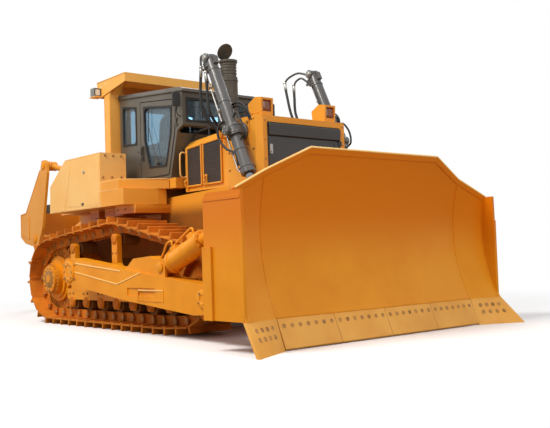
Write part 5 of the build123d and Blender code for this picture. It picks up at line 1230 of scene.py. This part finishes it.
def dressTank(look, trim, side):
    # a raised door with seams and hinge barrels, its lock and pull, and the tank's bolts
    face, letter, out = side * look["outer"], sideName[side], (0, side, 0)
    panel = [sidePrism(curved(look["panel"], 0.03), side, face, look["sheet"]),
             strip([(x, face + side * 0.001, z) for x, z in trim["seam"]], 0.010, 0.006, 0.002, (0, 1, 0))]
    panel += [sideSlab(low, high, side, face, -0.001, 0.003, 0.002) for low, high in trim["lines"]]
    x, hinges = trim["hinges"]
    panel += [rod((x, face + side * 0.004, z - 0.045), (x, face + side * 0.004, z + 0.045), 0.009, 12, 0.002)
              for z in hinges]
    # the door panel is the paler paint as painted sunlight
    makePiece(f"tank_panel_{letter}", panel, "tractor", sunlitPaint, bevel=0.0015)
    x, z = trim["lock"]
    lock = [turned([(0.026, 0), (0.026, 0.006), (0.020, 0.010), (0.006, 0.010)],
                   (x, face + side * 0.004, z), out, 24), sideSlab(*trim["slot"], side, face, 0.010, 0.016,
                                                                   0.003)]
    makePiece(f"tank_lock_{letter}", lock, "tractor", zincSteel)
    pull = sideSlab(*trim["pull"], side, face, 0.003, 0.010, 0.008)
    makePiece(f"tank_latch_{letter}", [pull], "tractor", darkPlastic, bevel=0.001)
    tops, topY = trim["topBolts"]
    lows, lowY, lowZ = trim["lowBolts"]
    bolts = bolted([(look["front"], side * y, z) for y, z in trim["frontBolts"]], (1, 0, 0), 0.016, 0.014)
    bolts += bolted(grid(tops, [side * topY], [look["top"]]), (0, 0, 1), 0.015, 0.012)
    bolts += bolted([(x, side * y, trim["deckTop"]) for x, y in trim["deckBolts"]], (0, 0, 1), 0.013, 0.010)
    bolts += bolted(grid(lows, [side * lowY], [lowZ]), out, 0.015, 0.012)
    makePiece(f"tank_bolts_{letter}", bolts, "tractor", boltSteel)


def dressFender(trim, side):
    # a lip along the deck's edge, and raised pads in rows that shorten evenly where the deck narrows
    letter, ((x0, x1), (y0, y1)) = sideName[side], trim["lip"]
    lip = [strip([(x, side * y, 2.037) for x, y in trim["deckEdge"]], 0.014, 0.014, 0.004, (0, 0, 1)),
           slab((x0, side * y0, 1.900), (x1, side * y1, 1.911), 0.003, 1)]
    # the deck lip is the paler paint as a painted highlight
    makePiece(f"fender_lip_{letter}", lip, "tractor", sunlitPaint)
    (first, step, pad), treads = trim["pads"], []
    for x in np.arange(*trim["rows"]):
        reach = trim["reach"] - max(0, x - trim["narrowFrom"]) * trim["narrowing"]
        treads += [slab((x, side * y, 2.034), (x + pad, side * (y + pad), 2.040), 0.006, 2)
                   for y in np.arange(first, reach - 0.03, step)]
    makePiece(f"fender_treads_{letter}", treads, "tractor", yellowPaint)


def dressPost(top, trim, side):
    # a foot plate with its bolts, a weld bead and two seams up the post
    ((x0, x1), (y0, y1)), (boltXs, boltYs) = trim["plate"], trim["bolts"]
    posts = [slab((x0, side * y0, top - 0.002), (x1, side * y1, top + 0.026), 0.020, 2)]
    posts += bolted(grid(boltXs, [side * y for y in boltYs], [top + 0.026]), (0, 0, 1), 0.017, 0.018)
    x0, x1, y, z = trim["weld"]
    posts.append(bead([(x0, side * y, z), (x1, side * y, z)], 0.010, (0, 0, 1), 8))
    *seams, y, high, low = trim["seams"]
    posts += [bead([(x, side * y, high), (x, side * y, low)], 0.004, (0, 1, 0)) for x in seams]
    makePiece(f"post_foot_{sideName[side]}", posts, "tractor", yellowPaint)


def dressCanopy(trim):
    # seams along the canopy's edges with lugs and bolts, and a rim and lens for each work lamp
    x0, x1, low, high = trim["trayEnd"]
    half, (boltXs, boltZ) = trim["trayHalf"], trim["trayBolts"]
    tray = [slab((x0, -half, low), (x1, half, high), 0.002, 0)]
    for side in sides:
        tray.append(bead([(-0.452, side * 0.932, 3.648), (0.383, side * 0.932, 3.658)], 0.006, (0, 1, 0)))
        tray.append(slab((-0.20, side * 0.925, 3.560), (-0.16, side * 0.934, 3.600), 0.008, 1))
        tray += bolted(grid(boltXs, [side * half], [boltZ]), (0, side, 0), 0.014, 0.010)
    # the canopy's edge seams are the paler paint as a painted highlight
    makePiece("canopy_seams", tray, "tractor", sunlitPaint)
    x, aside, z = trim["lamp"]
    for side in sides:
        middle, letter = side * aside, sideName[side]
        outline = [*roundedOutline(*trim["rim"]), (0.044, 0.034)]
        rim = [strip([(x, middle + p, z + q) for p, q in outline], 0.010, 0.016, 0.003, (1, 0, 0)),
               slab((-0.400, middle - 0.020, 3.543), (-0.360, middle + 0.020, 3.552), 0.006, 2)]
        makePiece(f"work_lamp_rim_{letter}", rim, "tractor", darkPlastic)
        lens = prism(roundedOutline(*trim["lens"]), (x - 0.003, middle, z), (0, 1, 0), (0, 0, 1), 0.007)
        makePiece(f"work_lamp_lens_{letter}", [lens], "tractor", paleLens, bevel=0.002)


for side in sides:
    dressTank(tankForm, tankTrim, side)
    dressFender(tankTrim, side)
    dressPost(tankForm["top"], postTrim, side)
dressCanopy(postTrim)
print("tanks, fenders and posts dressed")

# Cab: seals, doors, wipers, gutter, seat and controls.
cabForm = {"half": 0.760, "rear": -0.070, "front": 1.595, "roofRear": 3.400, "roofFront": 3.255,
           "doorHalf": 0.764}


def roofAt(x, look=cabForm):
    # the roof falls evenly from its rear to its front
    return look["roofRear"] + (x - look["rear"]) * (look["roofFront"]
                                                    - look["roofRear"]) / (look["front"] - look["rear"])


doorWindow = [(0.750, 2.245), (1.170, 2.225), (1.310, 2.680), (1.330, roofAt(1.46) - 0.240),
              (0.620, roofAt(0.52) - 0.230), (0.620, 2.645)]
rearWindow = [(0.020, 2.635), (0.390, 2.615), (0.390, roofAt(0.52) - 0.200), (0.020, roofAt(-0.07) - 0.190)]
doorEdge = [(0.520, 2.105), (1.220, 2.105), (1.240, 2.155), (1.390, 2.680), (1.430, roofAt(1.46) - 0.160),
            (0.520, roofAt(0.52) - 0.150)]


# Pairs are x and z on the cab's side.
cabTrim = {"handle": ((0.566, 2.432), (0.594, 2.548)), "handlePlate": ((0.535, 2.350), (0.610, 2.410)),
           "lock": (0.560, 2.380), "pivot": (0.980, 2.275), "tip": (0.745, 2.900),
           "gutter": (-0.088, 0.70, 1.628), "roofEyes": (0.10, 1.35),
           "mirrorArm": ((1.545, 0.764, 2.86), (1.560, 0.810, 2.87), (1.560, 0.835, 2.93),
                         (1.560, 0.835, 3.00)), "mirror": ((1.548, 0.775, 2.985), (1.572, 0.895, 3.175)),
           "panes": ((-0.690, -0.060), (0.060, 0.690)), "paneLow": 2.800, "paneHigh": 3.105,
           "rearPane": (0.600, 2.605, 3.200)}


def dressCabSide(look, trim, side):
    # seals round the panes and the door, its handle and wiper, bolts, gutter and mirror
    letter, body, out = sideName[side], f"cab_door_{sideLetter[side]}", (0, side, 0)
    face, outer = side * look["doorHalf"], side * look["half"]

    def seal(opening, half, radius):
        # a seal is drawn on the right, where y is negative, and mirrored for the left
        drawn = surround(opening, (0, -half, 0), (1, 0, 0), (0, 0, 1), -0.018, 0.008, radius=radius)
        return drawn if side < 0 else mirrored(drawn)

    makePiece(f"door_seal_{letter}", [seal(doorWindow, look["doorHalf"], 0.085)], body, blackRubber,
              crease=50)
    loop = curved(moved(doorEdge, 0.011), 0.02)
    fixed = [seal(rearWindow, look["half"], 0.060), strip([(x, face - side * 0.002, z) for x,
                                                           z in [*loop, loop[0]]], 0.010, 0.008, 0.003,
                                                          (0, 1, 0))]
    makePiece(f"cab_side_seals_{letter}", fixed, "tractor", blackRubber, crease=50)
    x, z = trim["lock"]
    handle = [sideSlab(*trim["handle"], side, face, 0.034, 0.046, 0.010),
              turned([(0.016, 0), (0.016, 0.010), (0.010, 0.013)], (x, face - side * 0.002, z), out, 18),
              sideSlab(*trim["handlePlate"], side, face, -0.002, 0.006, 0.014)]
    makePiece(f"door_handle_{letter}", handle, body, darkPlastic, bevel=0.002)
    pivot, tip = [np.array([x, face + side * away, z]) for (x, z),
                  away in ((trim["pivot"], 0.010), (trim["tip"], 0.022))]
    arm = [pivot + [0, side * 0.014, 0], pivot * 0.45 + tip * 0.55 + [0, side * 0.018, 0], tip]
    rubber = [tip + [x, -side * y, z] for x, y, z in ((-0.010, 0.010, -0.290), (0.004, 0.008, 0),
                                                      (0.012, 0.010, 0.170))]
    wiper = [turned([(0.022, -0.010), (0.022, 0.014), (0.014, 0.022)], pivot, out, 20),
             strip(arm, 0.012, 0.006, 0.002, (0, 1, 0)), strip(rubber, 0.014, 0.012, 0.003, (0, 1, 0))]
    makePiece(f"door_wiper_{letter}", wiper, body, darkPlastic, crease=50)
    places = grid((0.02, 0.42), [outer], [2.50]) + grid((0.00, 0.47), [outer], (2.12, 2.32))
    bolts = bolted(places, out, 0.009, 0.008)
    bolts += bolted(grid([1.405], [face], (2.775, 2.825, 3.005, 3.055)), out, 0.008, 0.008)
    makePiece(f"cab_bolts_{letter}", bolts, "tractor", darkPlastic)
    drip = [(x, side * 0.776, roofAt(x) - 0.050) for x in trim["gutter"]]
    gutter = [strip(drip, 0.014, 0.022, 0.004, (0, 0, 1))]
    gutter += [rod((x, side * 0.70, roofAt(x) - 0.002), (x, side * 0.70, roofAt(x) + 0.010), 0.016, 14, 0.003)
               for x in trim["roofEyes"]]
    makePiece(f"roof_gutter_{letter}", gutter, "tractor", charcoalPaint)
    arm, (low, high) = [[(x, side * y, z) for x, y, z in trim[key]] for key in ("mirrorArm", "mirror")]
    makePiece(f"mirror_{letter}", [hose(arm, 0.008, 6, 8), slab(low, high, 0.020, 0)], "tractor",
              darkPlastic, bevel=0.004)


def dressPanes(look, trim):
    # seals round the two front panes, each with a wiper, and round the rear pane
    panes, front, across, forward, upward = [], look["front"], (0, 1, 0), (1, 0, 0), (0, 0, 1)
    low, high = trim["paneLow"], trim["paneHigh"]
    for y0, y1 in trim["panes"]:
        middle, opening = (y0 + y1) / 2, [(y0, low), (y1, low), (y1, high), (y0, high)]
        pivot = (front, middle + 0.10, 2.772)
        panes.append(surround(opening, (front, 0, 0), across, upward, -0.034, 0.008, radius=0.05))
        panes.append(turned([(0.020, 0), (0.020, 0.026), (0.012, 0.032)], pivot, forward, 18))
        panes.append(strip([(front + 0.024, middle + 0.10, 2.772), (front + 0.030, middle + 0.02, 2.90),
                            (front + 0.020, middle - 0.06, 3.04)], 0.012, 0.006, 0.002, forward))
        panes.append(strip([(front + 0.010, middle - 0.06, 2.85), (front + 0.014, middle - 0.060, 3.085)],
                           0.012, 0.012, 0.003, forward))
    half, low, high = trim["rearPane"]
    opening = [(-half, low), (half, low), (half, high), (-half, high)]
    panes.append(surround(opening, (look["rear"], 0, 0), (0, -1, 0), upward, -0.020, 0.008, radius=0.06))
    makePiece("windscreen_seals", panes, "tractor", blackRubber, crease=50)


def dressCab(look, trim=cabTrim):
    # both sides, then the front and rear panes
    for side in sides:
        dressCabSide(look, trim, side)
    dressPanes(look, trim)


def cushion(centre, size, lean=0.0, rows=20, columns=44, channels=0, depth=0.006):
    # a superellipsoid with rounded corners, size * sign(c)|c|^power of each angle; channels are pressed
    # across its top, then it is leaned back about y and set at its centre
    up = np.linspace(-math.pi / 2, math.pi / 2, rows + 2)[1:-1, None]
    around = np.linspace(0, 2 * math.pi, columns, endpoint=False)[None, :]
    x = bent(np.cos(up)) * bent(np.cos(around))
    y = bent(np.cos(up)) * bent(np.sin(around))
    z = bent(np.sin(up)) * np.ones_like(around)
    swell = 1 - 0.10 * (np.maximum(np.abs(x), np.abs(y)) ** 4) * np.abs(z)
    points = np.stack([x * size[0] / 2, y * size[1] / 2, z * swell * size[2] / 2], -1).reshape(-1, 3)
    if channels:
        press = depth * (1 - np.abs(np.sin(channels * math.pi * (x / 2 + 0.5)))) ** 3
        points[:, 2] -= (press * (z > 0.5)).reshape(-1)
    turn = np.array(Matrix.Rotation(lean, 3, "Y"))
    low, high = len(points), len(points) + 1
    ends = np.array([[0, 0, -size[2] / 2], [0, 0, size[2] / 2]])
    points = np.concatenate([points, ends]) @ turn.T + np.asarray(centre)
    faces = quadGrid(rows, columns, False, True)
    faces += [[low, (k + 1) % columns, k] for k in range(columns)]
    faces += [[high, (rows - 1) * columns + k, (rows - 1) * columns + (k + 1) % columns]
              for k in range(columns)]
    return points, faces


def seamRound(centre, size, lean, radius=0.006):
    # piping that follows a cushion's widest outline
    angle = np.linspace(0, 2 * math.pi, 61)
    x, y = bent(np.cos(angle)) * size[0] / 2, bent(np.sin(angle)) * size[1] / 2
    turn = np.array(Matrix.Rotation(lean, 3, "Y"))
    path = np.stack([x, y, np.zeros_like(x)], 1) @ turn.T + np.asarray(centre)
    return bead(path, radius, turn @ np.array([0, 0, 1.0]))


seatForm = {"base": ((0.530, 0, 2.415), (0.540, 0.530, 0.150), 0.03),
            "back": ((0.235, 0, 2.790), (0.640, 0.510, 0.135), -1.45),
            "head": ((0.195, 0, 3.060), (0.170, 0.290, 0.100), -1.48)}


def dressSeat(look):
    # two cushions, a headrest and arm pads on a sprung pedestal
    base = makePiece("seat_cushion", [cushion(*look["base"], channels=5), seamRound(*look["base"])],
                     "tractor", seatFabric, crease=60)
    back = makePiece("seat_back", [cushion(*look["back"], channels=6), seamRound(*look["back"])], "tractor",
                     seatFabric, crease=60)
    head = makePiece("seat_headrest", [cushion(*look["head"])], "tractor", seatFabric, crease=60)
    arms = [cushion((0.470, side * 0.300, 2.640), (0.330, 0.070, 0.050)) for side in sides]
    arms = makePiece("seat_arm_pads", arms, "tractor", seatFabric, crease=60)
    for piece in (base, back, head, arms):
        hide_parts("operator_seat")
    rows = [(0.20 - 0.03 * abs(math.sin(k * math.pi / 2)), 2.110 + k * 0.0235) for k in range(9)]
    folds = [[[x + 0.505, y, z] for x, y in roundedOutline(2 * half + 0.06, 2 * half, 0.05)] for half,
             z in rows]
    frame = [capped(np.array(folds)), slab((0.27, -0.24, 2.300), (0.78, 0.24, 2.342), 0.03, 2),
             slab((0.28, -0.22, 2.090), (0.75, 0.22, 2.118), 0.02, 2)]
    frame += [slab((0.20, side * 0.245, 2.42), (0.245, side * 0.262, 2.66), 0.01, 1) for side in sides]
    frame += [rod((0.300, side * 0.292, 2.60), (0.225, side * 0.262, 2.60), 0.014, 12) for side in sides]
    frame += [rod((0.185, side * 0.07, 2.96), (0.190, side * 0.07, 3.05), 0.008, 10) for side in sides]
    makePiece("seat_base", frame, "tractor", darkPlastic, bevel=0.003)
    levers = []
    for side in sides:
        foot = np.array([0.800, side * 0.450, 2.600])
        levers.append(hose([foot, foot + [0.01, 0, 0.10], foot + [0.005, 0, 0.17]], 0.010, 5, 10))
        levers.append(turned([(0.016, 0), (0.026, 0.015), (0.024, 0.07), (0.028, 0.10), (0.016, 0.125)],
                             foot + [0.005, 0, 0.165], (0, 0, 1), 20))
        levers.append(turned([(0.060, 0), (0.055, 0.012), (0.040, 0.030), (0.018, 0.045)],
                             foot + [0, 0, 0.003], (0, 0, 1), 24))
    levers.append(slab((1.065, -0.28, 2.745), (1.090, 0.28, 2.905), 0.02, 0))
    levers += [turned([(0.052, 0), (0.052, 0.004), (0.046, 0.006)], (1.065, y, 2.828), (-1, 0, 0), 24)
               for y in (-0.19, -0.06, 0.07, 0.20)]
    levers += [prism([(0, 0), (0.10, 0.05), (0.12, 0.05), (0.02, 0)], (1.13, y, 2.098), (1, 0, 0),
                     (0, 0, 1), -0.09) for y in (-0.22, 0.02, 0.28)]
    makePiece("cab_controls", levers, "tractor", darkPlastic, bevel=0.002)


dressCab(cabForm)
dressSeat(seatForm)
print("cab dressed")

# Ripper: pin caps, tooth, welds and hoses.
ripperForm = {"mast": 0.520, "top": (-3.330, 2.690), "carrier": (-3.750, 1.370), "foot": (-2.150, 1.000),
              "footTop": (-1.730, 2.320)}


def dressRipper(look):
    # caps over each pin, weld beads along the mast feet, the tooth's pins, and a hose on each side
    for side in sides:
        letter, mast = sideName[side], side * look["mast"]
        caps = [turned([(0.070, -0.004), (0.070, 0.014), (0.058, 0.020), (0.015, 0.020)],
                       (look["top"][0], mast, look["top"][1]), (0, side, 0), 28),
                turned([(0.085, -0.004), (0.085, 0.016), (0.070, 0.024), (0.015, 0.024)],
                       (look["carrier"][0], mast, look["carrier"][1]), (0, side, 0), 28)]
        for centre, reach in ((look["top"], 0.042), (look["carrier"], 0.052)):
            caps.append(boltRing((centre[0], mast + side * 0.018, centre[1]), (0, side, 0), reach, 4, 0.010))
        makePiece(f"mast_caps_{letter}", caps, "ripper_tool", deepPaint, bevel=0.002)
        fixed = [turned([(0.080, -0.004), (0.080, 0.012), (0.066, 0.018), (0.015, 0.018)],
                        (look["foot"][0], side * 0.520, look["foot"][1]), (0, side, 0), 28),
                 turned([(0.068, -0.004), (0.068, 0.012), (0.056, 0.018), (0.015, 0.018)],
                        (look["footTop"][0], side * 0.427, look["footTop"][1]), (0, side, 0), 28)]
        makePiece(f"bracket_caps_{letter}", fixed, "tractor", deepPaint, bevel=0.002)
        outline = [(-3.900, 1.262), (-4.165, 1.322), (-4.360, 1.438), (-4.360, 1.838), (-4.130, 1.862),
                   (-3.480, 2.620)]
        bead = alongPath([(x, side * 0.5225, z) for x, z in outline], circleOutline(0.006, 6), (0, 1, 0))
        plate = sidePrism(curved([(-4.33, 1.46), (-3.98, 1.36), (-3.98, 1.80), (-4.33, 1.80)], 0.04), side,
                          side * 0.520, 0.010)
        makePiece(f"mast_beads_{letter}", [bead, plate], "ripper_tool", yellowPaint, bevel=0.002)
        start = np.array([-1.800, side * 0.140, 2.060])
        end = np.array([-2.060, side * 0.330, 2.490])
        lines = [hose([start, start + [-0.12, side * 0.01, 0.02], start + [-0.26, side * 0.05, 0.12],
                       start + [-0.28, side * 0.13, 0.30], end + [0.0, 0, 0.02]], 0.013, 8, 10)]
        piece = makePiece(f"pitch_hose_{letter}", lines, None, blackRubber, crease=60)
        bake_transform(piece)
    tooth = [rod((-4.600, -0.062, 0.420), (-4.600, 0.062, 0.420), 0.022, 16, 0.003),
             rod((-4.470, -0.062, 0.700), (-4.470, 0.062, 0.700), 0.022, 16, 0.003)]
    makePiece("shank_pins", tooth, "ripper_tool", zincSteel)


dressRipper(ripperForm)
print("ripper dressed")


# Camera, light and floor.
cameraLook = {"place": (10.687, -6.881, 0.991), "heading": 139.761, "pitch": 0.046, "roll": -0.033,
              "lens": 36 * 814.947 / 550}


def makeCamera(look):
    # the view direction from heading and pitch, then rolled about itself
    heading = math.radians(look["heading"])
    level = np.array([math.cos(heading), math.sin(heading), 0])
    right = np.array([math.sin(heading), -math.cos(heading), 0])
    up = np.array([0, 0, 1.0])
    ahead = level * math.cos(look["pitch"]) + up * math.sin(look["pitch"])
    above = up * math.cos(look["pitch"]) - level * math.sin(look["pitch"])
    right, above = (right * math.cos(look["roll"]) + above * math.sin(look["roll"]),
                    above * math.cos(look["roll"]) - right * math.sin(look["roll"]))
    data = bpy.data.cameras.new("camera")
    data.lens = look["lens"]
    data.sensor_width = 36
    data.clip_end = 200
    camera = bpy.data.objects.new("camera", data)
    camera.matrix_world = Matrix([[*row, place] for row,
                                  place in zip(np.stack([right, above, -ahead], 1).tolist(),
                                               look["place"])] + [[0, 0, 0, 1]])
    bpy.context.scene.collection.objects.link(camera)
    bpy.context.scene.camera = camera


def areaLamp(name, place, target, size, power, colour):
    # a square lamp that faces its target
    data = bpy.data.lights.new(name, "AREA")
    data.shape = "SQUARE"
    data.size, data.energy, data.color = size, power, colour
    lamp = bpy.data.objects.new(name, data)
    lamp.location = place
    lamp.rotation_mode = "QUATERNION"
    lamp.rotation_quaternion = (Vector(target) - Vector(place)).to_track_quat("-Z", "Y")
    bpy.context.scene.collection.objects.link(lamp)


lampTable = (("key", (2.0, -9.0, 12.0), (0.0, -0.6, 1.2), 5.0, 1700, (1.0, 0.97, 0.92)),
             ("front", (13.0, -1.0, 7.0), (3.0, 0.0, 1.0), 6.0, 420, (1.0, 0.98, 0.95)),
             ("back", (-9.0, 9.0, 8.0), (-1.0, 0.0, 1.5), 6.0, 450, (0.95, 0.98, 1.0)))
floorLook = {"radius": 40.0, "shade": (0.97, 0.97, 0.97, 1.0),
             "unseen": (0.42, 0.34, 0.24, 1.0), "fadeFrom": 4.5, "fadeTo": 9.0}


def makeFloor(look):
    # a disc that fades from a pale matt floor to plain white away from the machine
    points, faces = turned([(look["radius"], -0.02), (look["radius"], 0.0)], (0, 0, -0.0005), (0, 0, 1), 96)
    mesh = bpy.data.meshes.new("floor")
    mesh.from_pydata(points.tolist(), [], faces)
    material = bpy.data.materials.new("pale floor")
    material.use_nodes = True
    tree = material.node_tree
    add = adder(tree)
    tree.nodes.remove(tree.nodes["Principled BSDF"])
    place = add("ShaderNodeTexCoord")
    away = add("ShaderNodeVectorMath", operation="LENGTH", links={0: place.outputs["Object"]})
    fade = add("ShaderNodeMapRange", {"From Min": look["fadeFrom"], "From Max": look["fadeTo"]},
               {"Value": away.outputs["Value"]}, interpolation_type="SMOOTHSTEP")
    ray = add("ShaderNodeLightPath")
    shade = add("ShaderNodeMix", data_type="RGBA", links={0: ray.outputs["Is Camera Ray"]})
    shade.inputs[6].default_value, shade.inputs[7].default_value = look["unseen"], look["shade"]
    matt = add("ShaderNodeBsdfDiffuse", links={"Color": shade.outputs[2]})
    plain = add("ShaderNodeEmission", {"Color": (1, 1, 1, 1), "Strength": 1.0})
    seen = add("ShaderNodeMath", operation="MULTIPLY", links={0: fade.outputs[0],
                                                              1: ray.outputs["Is Camera Ray"]})
    both = add("ShaderNodeMixShader", links={0: seen.outputs[0], 1: matt.outputs[0], 2: plain.outputs[0]})
    tree.links.new(both.outputs[0], tree.nodes["Material Output"].inputs["Surface"])
    mesh.materials.append(material)
    floor = bpy.data.objects.new("floor", mesh)
    bpy.context.scene.collection.objects.link(floor)


def makeWorld(strength):
    # white where the camera, gloss or glass looks at it, and a softer white as light
    world = bpy.data.worlds.new("studio")
    bpy.context.scene.world = world
    world.use_nodes = True
    tree = world.node_tree
    add = adder(tree)
    soft = tree.nodes["Background"]
    soft.inputs["Color"].default_value = (0.97, 0.98, 1.0, 1.0)
    soft.inputs["Strength"].default_value = strength
    plain = add("ShaderNodeBackground", {"Color": (1, 1, 1, 1), "Strength": 1.0})
    ray = add("ShaderNodeLightPath")
    bright = add("ShaderNodeMath", operation="MAXIMUM",
                 links={0: ray.outputs["Is Camera Ray"], 1: ray.outputs["Is Glossy Ray"]})
    white = add("ShaderNodeMath", operation="MAXIMUM",
               links={0: bright.outputs[0], 1: ray.outputs["Is Transmission Ray"]})
    both = add("ShaderNodeMixShader", links={0: white.outputs[0], 1: soft.outputs[0], 2: plain.outputs[0]})
    tree.links.new(both.outputs[0], tree.nodes["World Output"].inputs["Surface"])


makeCamera(cameraLook)
for lampRow in lampTable:
    areaLamp(*lampRow)
makeFloor(floorLook)
makeWorld(0.48)
bpy.context.scene.view_settings.view_transform = "Standard"
print("camera, lamps and floor are set")
